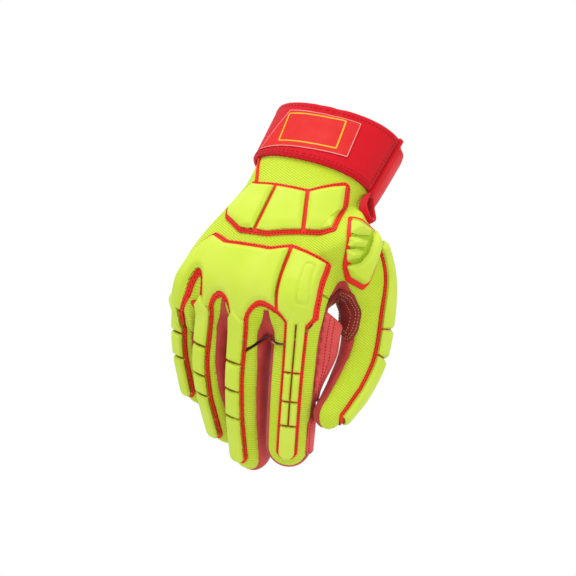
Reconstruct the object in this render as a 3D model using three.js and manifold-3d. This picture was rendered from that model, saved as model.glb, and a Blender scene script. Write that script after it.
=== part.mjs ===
// Impact glove for a right hand, size L, in millimetres.
// The origin is the centre of the wrist opening, +Z runs up the forearm, -Y is the back of the hand
// and +X is the thumb side. The glove is first shaped flat, with straight fingers hanging down, and
// every point is then bent into the relaxed, half closed hand.

import * as THREE from 'three';
import { mergeVertices } from 'three/addons/utils/BufferGeometryUtils.js';
import Module from 'manifold-3d';

const wasm = await Module();
wasm.setup();

// Driving dimensions of the fabric glove
const KNUCKLE_DROP = 122; // wrist opening to the knuckle line
const HAND_HALF_WIDTH = 46;
const HAND_HALF_DEPTH = 24;
const FINGER_LENGTH = 107; // middle finger, knuckle to tip
const FINGER_HALF_WIDTH = 13;
const FINGER_HALF_DEPTH = 12;
const MIDDLE_X = 0; // middle knuckle, across the hand
const THUMB_REACH = 57.5; // thumb axis, across the hand
const THUMB_DROP = (175 / 122) * KNUCKLE_DROP; // wrist opening to the end of the thumb's axis
const THUMB_RADIUS = 20; // at the root
const FABRIC = 1.8; // knit and leather wall
const SEAM_Y = 2; // side seam of the hand, towards the palm
const FINGER_SEAM = 2; // side seam of a finger, above its axis
const THUMB_SEAM = 0.45; // where the thumb's own panels start, a share of its length

// Driving dimensions of the moulded guards
const CLEARANCE = 0.35; // between neighbouring layers
const SEAM_GAP = 0.6; // between two fabric panels
const LEAST_GAP = 0.15; // kept where a facet of one layer would reach the next
const BASE = 1; // red base flange
const TRIM = 2.2; // base that shows round the blocks
const GROOVE = 2; // base that shows between two plates
const CHAMFER = 1.3;
const METACARPAL_BLOCK = 3.6;
const KNUCKLE_BLOCK = 3.8;
const STRIP_BLOCK = 3.2;
const THUMB_RIB = 4.6;
const STRIP_HALF_WIDTH = 6.2; // a finger strip's blocks
const STRIP_GAP = 0.9; // between two blocks of a strip
const STRIP_START = 14; // below the knuckle
const STRIP_END = 11; // above the fingertip
const THUMB_STRIP_START = 17; // down the thumb's axis from its root
const THUMB_STRIP_END = 8; // above the thumb's tip
const JOINT_BLOCK = 16; // the block over a finger's middle joint
const SLOT = 1.4; // lengthwise slot of the index strip

// Driving dimensions of the cuff
const CUFF_HEIGHT = 40;
const CUFF_BAND = 1;
const STRAP = 2;
const LABEL = 0.5;
const TAB = 2.4;
const BINDING = 1.1; // stands above the strap's end
const LOOP_RADIUS = 1.6;

// Facet sizes
const HAND_SIDES = 24;
const FINGER_SIDES = 12;
const THUMB_SIDES = 12;
const PLATE_EDGE = 10;
const KNUCKLE_EDGE = 7.5;
const STRIP_EDGE = 8;

const rad = THREE.MathUtils.degToRad;
const smooth = (t) => THREE.MathUtils.smoothstep(t, 0, 1);
const vec = (x, y, z) => new THREE.Vector3(x, y, z);

// Hand sections down from the wrist: shares of KNUCKLE_DROP, HAND_HALF_WIDTH and HAND_HALF_DEPTH
const HAND_ROWS = [
  { at: 0.0, left: -0.89, right: 0.89, back: 1.04, palm: 1.04 },
  { at: 0.34, left: -0.87, right: 0.83, back: 1.04, palm: 1.0 },
  { at: 0.49, left: -0.87, right: 0.83, back: 1.04, palm: 1.0 },
  { at: 0.66, left: -1.01, right: 0.87, back: 1.0, palm: 1.12 },
  { at: 0.82, left: -1.15, right: 0.96, back: 0.94, palm: 1.12 },
  { at: 1.0, left: -1.24, right: 0.96, back: 0.75, palm: 0.92 },
  { at: 1.1, left: -1.22, right: 0.91, back: 0.58, palm: 0.75 },
  { at: 1.2, left: -1.11, right: 0.83, back: 0.33, palm: 0.5 },
  { at: 1.25, left: -0.91, right: 0.65, back: 0.12, palm: 0.25 },
];

// Fingers: knuckle depth and drop as shares of the hand, fan, roll and bends in degrees, bone lengths
// as shares of FINGER_LENGTH, width and depth as shares of the middle finger's, gap to the next finger;
// lean and seam turn the strip and the side seams round the finger, in degrees
const FINGERS = [
  { name: 'pinky', y: 0.46, drop: 0.975, fan: -14.5, roll: -17, bends: [42, 14, 7], turn: 3,
    bones: [0.29, 0.14, 0.374], width: 0.86, depth: 0.875, apart: 0.5, lean: 6, seam: 0 },
  { name: 'ring', y: 0.04, drop: 0.984, fan: -9.5, roll: -10, bends: [41, 18, 9], turn: 1,
    bones: [0.44, 0.2, 0.425], width: 0.95, depth: 0.96, apart: -0.3, lean: -5, seam: 0 },
  { name: 'middle', y: -0.08, drop: 1.008, fan: -3.5, roll: -5, bends: [41, 11, 6], turn: 0,
    bones: [0.467, 0.24, 0.405], width: 1, depth: 1, apart: 0.5, lean: -8, seam: 8 },
  { name: 'index', y: -0.04, drop: 0.967, fan: 4.5, roll: 16, bends: [34, 10, 5], turn: -13,
    bones: [0.486, 0.215, 0.313], width: 1.12, depth: 1, apart: 0, lean: 0, seam: 0 },
];

// Finger sections along the length: shares of the finger's own length, half width and half depth
const FINGER_ROWS = [
  { at: -0.3, side: 0.8, back: 0.9, palm: 0.9 },
  { at: -0.15, side: 1.0, back: 1.32, palm: 1.1 },
  { at: 0.0, side: 1.03, back: 1.42, palm: 1.15 },
  { at: 0.18, side: 1.0, back: 1.17, palm: 1.06 },
  { at: 0.36, side: 1.0, back: 1.04, palm: 1.0 },
  { at: 0.5, side: 1.0, back: 1.0, palm: 1.0 },
  { at: 0.7, side: 0.97, back: 0.97, palm: 0.97 },
  { at: 0.85, side: 0.95, back: 0.94, palm: 0.94 },
  { at: 1.0, side: 0.9, back: 0.88, palm: 0.9 },
];

// Thumb axis: shares of THUMB_REACH across, HAND_HALF_DEPTH towards the palm, THUMB_DROP down and
// THUMB_RADIUS
const THUMB_ROWS = [
  { x: 0.59, y: -0.375, drop: 0.429, radius: 1.0 },
  { x: 0.765, y: 0.417, drop: 0.463, radius: 0.95 },
  { x: 0.896, y: 1.104, drop: 0.531, radius: 0.85 },
  { x: 0.965, y: 1.646, drop: 0.623, radius: 0.75 },
  { x: 1.0, y: 1.917, drop: 0.726, radius: 0.675 },
  { x: 1.0, y: 1.938, drop: 0.84, radius: 0.59 },
  { x: 0.995, y: 1.833, drop: 0.912, radius: 0.51 },
  { x: 0.98, y: 1.77, drop: 0.967, radius: 0.45 },
];
const THUMB_NORMAL = vec(0.97, -0.06, 0.2).normalize(); // the back of the thumb
const THUMB_SIDE = 1.1; // width and depth of a thumb section, as shares of its radius
const THUMB_BACK = 0.95;
const THUMB_ROOT = 0.4; // rounding behind the root, as a share of the radius
const HAND_POWER = 2.4; // squareness of the hand's and the fingers' sections
const FINGER_POWER = 2.2;
const BLEND = 1.4; // rounding where two forms meet under the guards

// Smooth curve through table rows, by the rows' own place column
function rowAt(rows, columns, at, place = 'at') {
  const last = rows.length - 1;
  const t = THREE.MathUtils.clamp(at, rows[0][place], rows[last][place]);
  let i = 0;
  while (i < last - 1 && t > rows[i + 1][place]) i += 1;
  const step = rows[i + 1][place] - rows[i][place];
  const u = (t - rows[i][place]) / step;
  const slope = (k, c) => {
    const a = Math.max(k - 1, 0);
    const b = Math.min(k + 1, last);
    return (rows[b][c] - rows[a][c]) / (rows[b][place] - rows[a][place]);
  };
  const out = {};
  for (const c of columns) {
    const rise = rows[i + 1][c] - rows[i][c];
    const m0 = slope(i, c) * step;
    const m1 = slope(i + 1, c) * step;
    out[c] = rows[i][c] + u * (m0 + u * (3 * rise - 2 * m0 - m1 + u * (m0 + m1 - 2 * rise)));
  }
  return out;
}

// Point of a section with separate back and palm depths, 0 at the back, turning towards the side
function oval(angle, side, back, palm, power) {
  const s = Math.sin(angle);
  const c = Math.cos(angle);
  const depth = c > 0 ? back : palm;
  return [side * Math.sign(s) * Math.abs(s) ** (2 / power),
    depth * Math.sign(c) * Math.abs(c) ** (2 / power)];
}

// Rough distance from a section's outline, below 0 inside
function ovalDistance(u, v, side, back, palm, power) {
  const depth = v > 0 ? back : palm;
  const share = ((Math.abs(u) / side) ** power + (Math.abs(v) / depth) ** power) ** (1 / power);
  const reach = Math.hypot(u, v);
  return share > 1e-6 ? reach * (1 - 1 / share) : -Math.min(side, depth);
}

// Frames of the four fingers
const fingers = FINGERS.map((row) => {
  const fan = rad(row.fan);
  const roll = rad(row.roll);
  const across = vec(Math.cos(fan), 0, Math.sin(fan));
  const back = vec(0, -1, 0);
  const [proximal, middle, tip] = row.bones.map((share) => share * FINGER_LENGTH);
  return {
    ...row, proximal, middle, tip, length: proximal + middle + tip,
    halfWidth: row.width * FINGER_HALF_WIDTH,
    halfDepth: row.depth * FINGER_HALF_DEPTH,
    along: vec(Math.sin(fan), 0, -Math.cos(fan)),
    side: across.clone().multiplyScalar(Math.cos(roll)).addScaledVector(back, -Math.sin(roll)),
    normal: back.clone().multiplyScalar(Math.cos(roll)).addScaledVector(across, Math.sin(roll)),
    knuckle: vec(0, row.y * HAND_HALF_DEPTH, -row.drop * KNUCKLE_DROP),
  };
});
const [pinky, ring, middle, index] = fingers;
middle.knuckle.x = MIDDLE_X;
ring.knuckle.x = MIDDLE_X - middle.halfWidth - ring.halfWidth - ring.apart;
pinky.knuckle.x = ring.knuckle.x - ring.halfWidth - pinky.halfWidth - pinky.apart;
index.knuckle.x = MIDDLE_X + middle.halfWidth + index.halfWidth + middle.apart;

// Bend of a finger: how far its axis has gone along and towards the back at each length, and the angle
const BEND_STEP = 0.5;
const BEND_FROM = -20;
const BEND_ZONES = [14, 11, 9]; // half length of each joint's bend
for (const f of fingers) {
  const joints = [0, f.proximal, f.proximal + f.middle];
  const angleAt = (s) => joints.reduce((sum, joint, k) => (
    sum + rad(f.bends[k]) * smooth((s - joint + BEND_ZONES[k]) / (2 * BEND_ZONES[k]))), 0);
  f.path = [{ along: BEND_FROM, out: 0, angle: 0 }];
  const steps = (f.length + 30 - BEND_FROM) / BEND_STEP;
  for (let i = 1; i < steps; i += 1) {
    const before = f.path[i - 1];
    const angle = angleAt(BEND_FROM + i * BEND_STEP);
    f.path.push({
      along: before.along + (BEND_STEP * (Math.cos(angle) + Math.cos(before.angle))) / 2,
      out: before.out - (BEND_STEP * (Math.sin(angle) + Math.sin(before.angle))) / 2,
      angle,
    });
  }
}

function bendFinger(f, point) {
  const q = point.clone().sub(f.knuckle);
  const s = q.dot(f.along);
  const u = q.dot(f.side);
  const v = q.dot(f.normal);
  const place = Math.max(s - BEND_FROM, 0) / BEND_STEP;
  const i = Math.min(Math.floor(place), f.path.length - 2);
  const t = Math.min(place - i, 1);
  const mix = (key) => THREE.MathUtils.lerp(f.path[i][key], f.path[i + 1][key], t);
  const angle = mix('angle');
  const along = s < BEND_FROM ? s : mix('along');
  const out = f.knuckle.clone().setScalar(0)
    .addScaledVector(f.along, along + v * Math.sin(angle))
    .addScaledVector(f.normal, mix('out') + v * Math.cos(angle))
    .addScaledVector(f.side, u);
  const turn = rad(f.turn) * smooth((s + BEND_ZONES[0]) / (2 * BEND_ZONES[0]));
  return out.applyAxisAngle(f.normal, -turn).add(f.knuckle);
}

// Where a finger's axis crosses a level of the flat glove
function axisX(f, z) {
  return f.knuckle.x + Math.tan(rad(f.fan)) * (f.knuckle.z - z);
}

// The bend of the whole glove: each point follows its own finger, and follows its neighbour too near
// the web between them; the thumb's side of the palm stays
const WEB_START = 14; // above the knuckles
const WEB_END = 26; // below the knuckles, where the fingers part
const WEB_HALF_WIDTH = 11;
const WEB_LEAST = 1; // half width left where the fingers part
function pose(point) {
  const shares = [1, 1, 1, 1];
  for (let i = 0; i < 3; i += 1) {
    const a = fingers[i];
    const b = fingers[i + 1];
    const between = (axisX(a, point.z) + a.halfWidth + axisX(b, point.z) - b.halfWidth) / 2;
    const below = (a.knuckle.z + b.knuckle.z) / 2 - point.z;
    const t = THREE.MathUtils.clamp((below + WEB_START) / (WEB_START + WEB_END), 0, 1);
    const half = THREE.MathUtils.lerp(WEB_HALF_WIDTH, WEB_LEAST, t);
    const right = smooth((point.x - between + half) / (2 * half));
    for (let k = 0; k < 4; k += 1) shares[k] *= k > i ? right : 1 - right;
  }
  const moved = vec(0, 0, 0);
  fingers.forEach((f, k) => {
    if (shares[k] > 0) moved.addScaledVector(bendFinger(f, point), shares[k]);
  });
  const still = smooth((point.y - 12) / 13) * smooth((point.x - 34) / 10);
  return moved.lerp(point, still);
}

// The thumb's axis with a frame at each place
const thumbPoints = THUMB_ROWS.map((row) => vec(
  row.x * THUMB_REACH, row.y * HAND_HALF_DEPTH, -row.drop * THUMB_DROP));
let thumbLength = 0;
const thumbTable = THUMB_ROWS.map((row, i) => {
  if (i > 0) thumbLength += thumbPoints[i].distanceTo(thumbPoints[i - 1]);
  const { x, y, z } = thumbPoints[i];
  return { at: thumbLength, x, y, z, radius: row.radius * THUMB_RADIUS };
});

function thumbFrame(s) {
  const on = THREE.MathUtils.clamp(s, 0, thumbLength);
  const here = rowAt(thumbTable, ['x', 'y', 'z', 'radius'], on);
  const before = rowAt(thumbTable, ['x', 'y', 'z'], on - 1);
  const after = rowAt(thumbTable, ['x', 'y', 'z'], on + 1);
  const along = vec(after.x - before.x, after.y - before.y, after.z - before.z).normalize();
  const normal = THUMB_NORMAL.clone().addScaledVector(along, -THUMB_NORMAL.dot(along)).normalize();
  const side = along.clone().cross(normal);
  return {
    centre: vec(here.x, here.y, here.z).addScaledVector(along, s - on),
    along, normal, side, radius: here.radius,
  };
}

// Half sizes of the sections, with a wall taken off for the inside
function handSection(z, wall = 0) {
  const row = rowAt(HAND_ROWS, ['left', 'right', 'back', 'palm'], -z / KNUCKLE_DROP);
  const least = 0.4;
  return {
    centre: ((row.left + row.right) / 2) * HAND_HALF_WIDTH,
    side: Math.max(((row.right - row.left) / 2) * HAND_HALF_WIDTH - wall, least),
    back: Math.max(row.back * HAND_HALF_DEPTH - wall, least),
    palm: Math.max(row.palm * HAND_HALF_DEPTH - wall, least),
  };
}

function fingerSection(f, s, wall = 0) {
  const row = rowAt(FINGER_ROWS, ['side', 'back', 'palm'], s / f.length);
  const end = f.length - wall;
  const radius = f.halfWidth - wall;
  const inCap = THREE.MathUtils.clamp(1 - (end - s) / radius, 0, 1);
  const cap = Math.sqrt(Math.max(1 - inCap ** 2, 0.0004));
  return {
    side: (row.side * f.halfWidth - wall) * cap,
    back: (row.back * f.halfDepth - wall) * cap,
    palm: (row.palm * f.halfDepth - wall) * cap,
  };
}

// Closed mesh through rings of points, with flat ends or joined end to end
function loft(rings, joined = false) {
  const count = rings[0].length;
  const points = rings.flat();
  const faces = [];
  const spans = joined ? rings.length : rings.length - 1;
  for (let i = 0; i < spans; i += 1) {
    const a = i * count;
    const b = ((i + 1) % rings.length) * count;
    for (let k = 0; k < count; k += 1) {
      const n = (k + 1) % count;
      faces.push([a + k, b + k, b + n], [a + k, b + n, a + n]);
    }
  }
  if (!joined) {
    for (let k = 1; k < count - 1; k += 1) {
      const last = points.length - count;
      faces.push([0, k, k + 1], [last, last + k + 1, last + k]);
    }
  }
  return { points, faces };
}

// Volume with its sign, which tells whether the faces point out
function signedVolume({ points, faces }) {
  return faces.reduce((sum, [a, b, c]) => (
    sum + points[a].dot(points[b].clone().cross(points[c])) / 6), 0);
}

function geometryOf(mesh) {
  const { points, faces } = mesh;
  const geometry = new THREE.BufferGeometry();
  geometry.setAttribute('position', new THREE.Float32BufferAttribute(points.flatMap((p) => p.toArray()), 3));
  const inward = signedVolume(mesh) < 0;
  geometry.setIndex(faces.flatMap(([a, b, c]) => (inward ? [a, c, b] : [a, b, c])));
  return mergeVertices(geometry, 1e-4);
}

function solid(mesh) {
  const geometry = geometryOf(mesh);
  return new wasm.Manifold(new wasm.Mesh({
    numProp: 3,
    vertProperties: geometry.getAttribute('position').array,
    triVerts: new Uint32Array(geometry.getIndex().array),
  }));
}

function meshOf(manifold) {
  const { vertProperties, triVerts, numProp } = manifold.getMesh();
  const points = [];
  for (let i = 0; i < vertProperties.length; i += numProp) {
    points.push(vec(vertProperties[i], vertProperties[i + 1], vertProperties[i + 2]));
  }
  const faces = [];
  for (let i = 0; i < triVerts.length; i += 3) faces.push([triVerts[i], triVerts[i + 1], triVerts[i + 2]]);
  return { points, faces };
}

// Lofts of the flat glove
function handLoft(wall) {
  const top = wall > 0 ? 5 : 0;
  const places = [0, 0.34, 0.49, 0.6, 0.7, 0.82, 0.92, 1.02, 1.12, 1.2, 1.25];
  const rings = places.map((place, i) => {
    const z = -place * KNUCKLE_DROP + (i === places.length - 1 ? wall : 0);
    const section = handSection(z, wall);
    return Array.from({ length: HAND_SIDES }, (_, k) => {
      const [u, v] = oval((k / HAND_SIDES) * 2 * Math.PI, section.side, section.back,
        section.palm, HAND_POWER);
      return vec(section.centre + u, -v, z);
    });
  });
  if (top > 0) rings.unshift(rings[0].map((p) => p.clone().setZ(top)));
  return loft(rings);
}

function fingerLoft(f, wall) {
  const end = f.length - wall;
  const joints = [f.proximal, f.proximal + f.middle];
  const places = [-0.2 * f.length, 0.02 * f.length, 0.22 * f.length, joints[0] - 8, joints[0] + 8,
    joints[1] - 6, joints[1] + 6, end - 0.7 * f.halfWidth, end - 0.3 * f.halfWidth, end - 0.05 * f.halfWidth];
  return loft(places.map((s) => {
    const section = fingerSection(f, s, wall);
    return Array.from({ length: FINGER_SIDES }, (_, k) => {
      const angle = ((k + 0.5) / FINGER_SIDES) * 2 * Math.PI;
      const [u, v] = oval(angle, section.side, section.back, section.palm, FINGER_POWER);
      return f.knuckle.clone().addScaledVector(f.along, s).addScaledVector(f.side, u)
      .addScaledVector(f.normal, v);
    });
  }));
}

function thumbLoft(wall) {
  const end = thumbLength + thumbFrame(thumbLength).radius - wall;
  const places = [0, 0.16, 0.32, 0.48, 0.64, 0.82, 0.96].map((share) => share * thumbLength);
  const rootRadius = thumbFrame(0).radius;
  const rings = [80, 55, 28].map((turn) => [(wall - THUMB_ROOT * rootRadius) * Math.sin(rad(turn)),
    Math.cos(rad(turn))]);
  rings.push(...places.map((s) => [s, 1]));
  for (const back of [0.7, 0.3, 0.05]) {
    const radius = end - thumbLength + wall;
    rings.push([end - back * radius, Math.sqrt(1 - (1 - back) ** 2)]);
  }
  return loft(rings.map(([s, cap]) => {
    const frame = thumbFrame(s);
    const radius = (frame.radius - wall) * cap;
    return Array.from({ length: THUMB_SIDES }, (_, k) => {
      const angle = ((k + 0.5) / THUMB_SIDES) * 2 * Math.PI;
      return frame.centre.clone()
        .addScaledVector(frame.side, THUMB_SIDE * radius * Math.sin(angle))
        .addScaledVector(frame.normal, THUMB_BACK * radius * Math.cos(angle));
    });
  }));
}

// Rough distance from the flat glove's surface, rounded where the hand, fingers and thumb meet
function gloveDistance(p) {
  const hand = handSection(p.z);
  const parts = [ovalDistance(p.x - hand.centre, -p.y, hand.side, hand.back, hand.palm, HAND_POWER)];
  for (const f of fingers) {
    const q = p.clone().sub(f.knuckle);
    const s = q.dot(f.along);
    if (s < -0.3 * f.length || s > f.length + 5) continue;
    const section = fingerSection(f, s);
    parts.push(ovalDistance(q.dot(f.side), q.dot(f.normal), section.side, section.back, section.palm,
      FINGER_POWER));
  }
  let nearest = thumbSamples[0];
  for (const sample of thumbSamples) {
    if (sample.centre.distanceToSquared(p) < nearest.centre.distanceToSquared(p)) nearest = sample;
  }
  const at = nearest.at + p.clone().sub(nearest.centre).dot(nearest.along);
  const frame = thumbFrame(THREE.MathUtils.clamp(at, 0, thumbLength));
  const q = p.clone().sub(frame.centre);
  const depth = THUMB_BACK * frame.radius;
  const u = q.dot(frame.side);
  const v = q.dot(frame.normal);
  const share = Math.hypot(u / (THUMB_SIDE * frame.radius), v / depth,
    Math.min(at, 0) / (THUMB_ROOT * frame.radius));
  if (at > thumbLength) parts.push(q.length() - frame.radius);
  else if (at < 0) parts.push(q.length() * (1 - 1 / share));
  else parts.push(ovalDistance(u, v, THUMB_SIDE * frame.radius, depth, depth, 2));
  const least = Math.min(...parts);
  return least - BLEND * Math.log(parts.reduce((sum, d) => sum + Math.exp((least - d) / BLEND), 0));
}
const THUMB_STEP = 4;
const thumbSamples = [];
for (let s = 0; s <= thumbLength; s += THUMB_STEP) thumbSamples.push({ at: s, ...thumbFrame(s) });

// Surface point met from outside, moved out by a height
function land(from, direction, height) {
  const step = 1.5;
  let far = 0;
  while (far < 90 && gloveDistance(from.clone().addScaledVector(direction, far)) > 0) far += step;
  let near = Math.max(far - step, 0);
  for (let i = 0; i < 14; i += 1) {
    const half = (near + far) / 2;
    if (gloveDistance(from.clone().addScaledVector(direction, half)) > 0) near = half;
    else far = half;
  }
  const point = from.clone().addScaledVector(direction, far);
  const e = 0.8;
  const slope = (axis) => gloveDistance(point.clone().addScaledVector(axis, e))
    - gloveDistance(point.clone().addScaledVector(axis, -e));
  const normal = vec(slope(vec(1, 0, 0)), slope(vec(0, 1, 0)), slope(vec(0, 0, 1))).normalize();
  return point.addScaledVector(normal, height);
}

// Charts that put a flat outline on the glove: each takes two lengths and a height above the fabric
const onBack = (x, z, height) => land(vec(x, -2.5 * HAND_HALF_DEPTH, z), vec(0, 1, 0), height);

const onFinger = (f) => (s, across, height) => {
  const section = fingerSection(f, Math.min(s, f.length - f.halfWidth));
  const angle = rad(f.lean) + across / ((section.side + section.back) / 2 + 3);
  const out = f.normal.clone().multiplyScalar(Math.cos(angle)).addScaledVector(f.side, Math.sin(angle));
  const from = f.knuckle.clone().addScaledVector(f.along, s).addScaledVector(out, 24);
  return land(from, out.negate(), height);
};

const THUMB_STRIP_LINE = [
  { at: 0.1, angle: -28 },
  { at: 0.25, angle: -14 },
  { at: 0.4, angle: 10 },
  { at: 0.55, angle: 10 },
  { at: 0.7, angle: -2 },
  { at: 0.85, angle: -15 },
  { at: 1.0, angle: -30 },
];
const stripAngle = (s) => rowAt(THUMB_STRIP_LINE, ['angle'], s / thumbLength).angle;
function onThumb(s, across, height) {
  const frame = thumbFrame(s);
  const angle = rad(stripAngle(s)) + across / (frame.radius + 3);
  const out = frame.normal.clone().multiplyScalar(Math.cos(angle))
    .addScaledVector(frame.side, Math.sin(angle));
  const from = frame.centre.clone().addScaledVector(out, frame.radius + 9);
  return land(from, out.negate(), height);
}

const ROOT_TURN = rad(35); // the thumb guard faces half way between the back and the thumb side
function onThumbRoot(across, z, height) {
  const out = vec(Math.sin(ROOT_TURN), -Math.cos(ROOT_TURN), 0);
  const from = vec(across * Math.cos(ROOT_TURN), across * Math.sin(ROOT_TURN), z).addScaledVector(out, 80);
  return land(from, out.negate(), height);
}

// Round the wrist: an arc from the back towards the thumb, a level and a height
const WRIST_ARC_RADIUS = 33;
function onWrist(arc, z, height) {
  const section = handSection(z);
  const [u, v] = oval(arc / WRIST_ARC_RADIUS, section.side, section.back, section.palm, HAND_POWER);
  const depth = v > 0 ? section.back : section.palm;
  const slopeU = (Math.sign(u) * Math.abs(u / section.side) ** (HAND_POWER - 1)) / section.side;
  const slopeV = (Math.sign(v) * Math.abs(v / depth) ** (HAND_POWER - 1)) / depth;
  const steep = Math.hypot(slopeU, slopeV);
  return vec(section.centre + u + (height * slopeU) / steep, -v - (height * slopeV) / steep, z);
}

// Outline moved inwards by a distance, corner by corner; the outline may turn either way
function inset(outline, distance) {
  const turning = THREE.ShapeUtils.area(outline) > 0 ? 1 : -1;
  return outline.map((p, i) => {
    const before = outline[(i + outline.length - 1) % outline.length];
    const after = outline[(i + 1) % outline.length];
    const a = p.clone().sub(before).normalize();
    const b = after.clone().sub(p).normalize();
    const na = new THREE.Vector2(-a.y, a.x).multiplyScalar(turning);
    const nb = new THREE.Vector2(-b.y, b.x).multiplyScalar(turning);
    const mitre = na.add(nb).normalize();
    const cosine = Math.max(mitre.dot(nb), 0.5);
    return p.clone().addScaledVector(mitre, distance / cosine);
  });
}

// The part of an outline on the left of the line from a to b
function clip(outline, a, b, offset = 0) {
  const side = (p) => ((b.x - a.x) * (p.y - a.y) - (b.y - a.y) * (p.x - a.x)) / a.distanceTo(b) - offset;
  const out = [];
  outline.forEach((p, i) => {
    const q = outline[(i + 1) % outline.length];
    const here = side(p);
    const next = side(q);
    if (here >= 0) out.push(p.clone());
    if (here * next < 0) out.push(p.clone().lerp(q, here / (here - next)));
  });
  return out;
}

// Edges over a limit are halved, so that a flat piece can follow a curved surface
function halveLongEdges(points, faces, limit) {
  let current = faces;
  for (let pass = 0; pass < 5; pass += 1) {
    const middles = new Map();
    const middleOf = (i, j) => {
      if (points[i].distanceTo(points[j]) <= limit) return -1;
      const key = i < j ? `${i},${j}` : `${j},${i}`;
      if (!middles.has(key)) middles.set(key,
        points.push(points[i].clone().add(points[j]).multiplyScalar(0.5)) - 1);
      return middles.get(key);
    };
    const next = [];
    for (const [a, b, c] of current) {
      const corners = [a, b, c];
      const halves = [middleOf(a, b), middleOf(b, c), middleOf(c, a)];
      const split = halves.filter((m) => m >= 0).length;
      if (split === 0) next.push([a, b, c]);
      if (split === 3) {
        next.push([a, halves[0], halves[2]], [halves[0], b, halves[1]],
          [halves[2], halves[1], c], [...halves]);
      }
      if (split === 1) {
        const k = halves.findIndex((m) => m >= 0);
        const [p, q, r] = [corners[k], corners[(k + 1) % 3], corners[(k + 2) % 3]];
        next.push([p, halves[k], r], [halves[k], q, r]);
      }
      if (split === 2) {
        const k = halves.findIndex((m) => m < 0);
        const [p, q, r] = [corners[k], corners[(k + 1) % 3], corners[(k + 2) % 3]];
        const qr = halves[(k + 1) % 3];
        const rp = halves[(k + 2) % 3];
        next.push([r, rp, qr], [p, q, qr], [p, qr, rp]);
      }
    }
    const done = next.length === current.length;
    current = next;
    if (done) break;
  }
  return current;
}

// A moulded piece: an outline between two heights, with a chamfered top edge, laid on a chart
function plate(outline, low, high, chart, { chamfer = 0, edge = PLATE_EDGE } = {}) {
  const foot = THREE.ShapeUtils.area(outline) > 0 ? outline : [...outline].reverse();
  const bevel = Math.min(chamfer, (high - low) * 0.6);
  const rings = [[foot, low]];
  if (bevel > 0) rings.push([foot, high - bevel]);
  rings.push([bevel > 0 ? inset(foot, bevel) : foot, high]);
  const points = rings.flatMap(([ring, height]) => ring.map((p) => vec(p.x, p.y, height)));
  const count = foot.length;
  const last = (rings.length - 1) * count;
  const faces = [];
  for (let a = 0; a < last; a += count) {
    for (let k = 0; k < count; k += 1) {
      const n = (k + 1) % count;
      faces.push([a + k, a + n, a + count + n], [a + k, a + count + n, a + count + k]);
    }
  }
  const cover = THREE.ShapeUtils.triangulateShape(foot, []);
  const turned = cover.reduce((sum, corners) => sum
    + THREE.ShapeUtils.area(corners.map((k) => foot[k])), 0) < 0;
  for (const corners of cover) {
    const [a, b, c] = turned ? [...corners].reverse() : corners;
    faces.push([a, c, b], [last + a, last + b, last + c]);
  }
  const fine = halveLongEdges(points, faces, edge);
  return { points: points.map((p) => pose(chart(p.x, p.y, p.z))), faces: fine };
}

// A long band along a chart: half widths at places along it, between two heights
const BAND_STEP = 7.5;
function band(places, low, high, chart) {
  const rows = [];
  places.forEach(([s, half], i) => {
    rows.push([s, half]);
    if (i + 1 === places.length) return;
    const [next, nextHalf] = places[i + 1];
    const steps = Math.max(Math.round((next - s) / BAND_STEP), 1);
    for (let k = 1; k < steps; k += 1) {
      rows.push([THREE.MathUtils.lerp(s, next, k / steps), THREE.MathUtils.lerp(half, nextHalf, k / steps)]);
    }
  });
  const shares = [-1, -0.5, 0, 0.5, 1];
  return loft(rows.map(([s, half]) => [
    ...shares.map((share) => pose(chart(s, share * half, low))),
    ...shares.map((share) => pose(chart(s, -share * half, high))),
  ]));
}

const flat = (pairs) => pairs.map(([x, y]) => new THREE.Vector2(x, y));
const box = (x0, x1, y0, y1) => flat([[x0, y0], [x1, y0], [x1, y1], [x0, y1]]);

// Materials by colour, roughness and metalness
const FINISH = {
  knit: { color: 0xd3ea3f, roughness: 0.9, metalness: 0 },
  leather: { color: 0xd2453f, roughness: 0.75, metalness: 0 },
  moulded: { color: 0xdcf04c, roughness: 0.55, metalness: 0 },
  trim: { color: 0xe8391f, roughness: 0.6, metalness: 0 },
  strap: { color: 0xdc1b2d, roughness: 0.85, metalness: 0 },
  tab: { color: 0xd81a25, roughness: 0.6, metalness: 0 },
  label: { color: 0xe0442a, roughness: 0.5, metalness: 0 },
};

const glove = new THREE.Group();

function addPiece(name, finish, mesh, under = []) {
  const cut = under.length > 0
    ? meshOf(under.reduce((piece, layer) => piece.subtract(layer), solid(mesh))) : mesh;
  const piece = new THREE.Mesh(geometryOf(cut), new THREE.MeshStandardMaterial(FINISH[finish]));
  piece.name = name;
  glove.add(piece);
}

// Fabric shell, open at the wrist
function gloveSolid(wall) {
  let whole = solid(handLoft(wall));
  for (const f of fingers) whole = whole.add(solid(fingerLoft(f, wall)));
  return whole.add(solid(thumbLoft(wall)));
}

// The side seam's depth, which follows each finger's roll
function seamY(x, z) {
  let sum = 0;
  let weight = 0;
  for (const f of fingers) {
    const off = x - axisX(f, z);
    const near = Math.exp(-((off / f.halfWidth) ** 2));
    const drop = smooth((f.knuckle.z - z + WEB_START) / (WEB_START + WEB_END));
    const slope = Math.tan(rad(f.roll + f.seam));
    const rolled = f.knuckle.y - FINGER_SEAM + slope * THREE.MathUtils.clamp(off, -f.halfWidth, f.halfWidth);
    sum += near * (SEAM_Y + drop * (rolled - SEAM_Y));
    weight += near;
  }
  return sum / weight;
}

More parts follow.
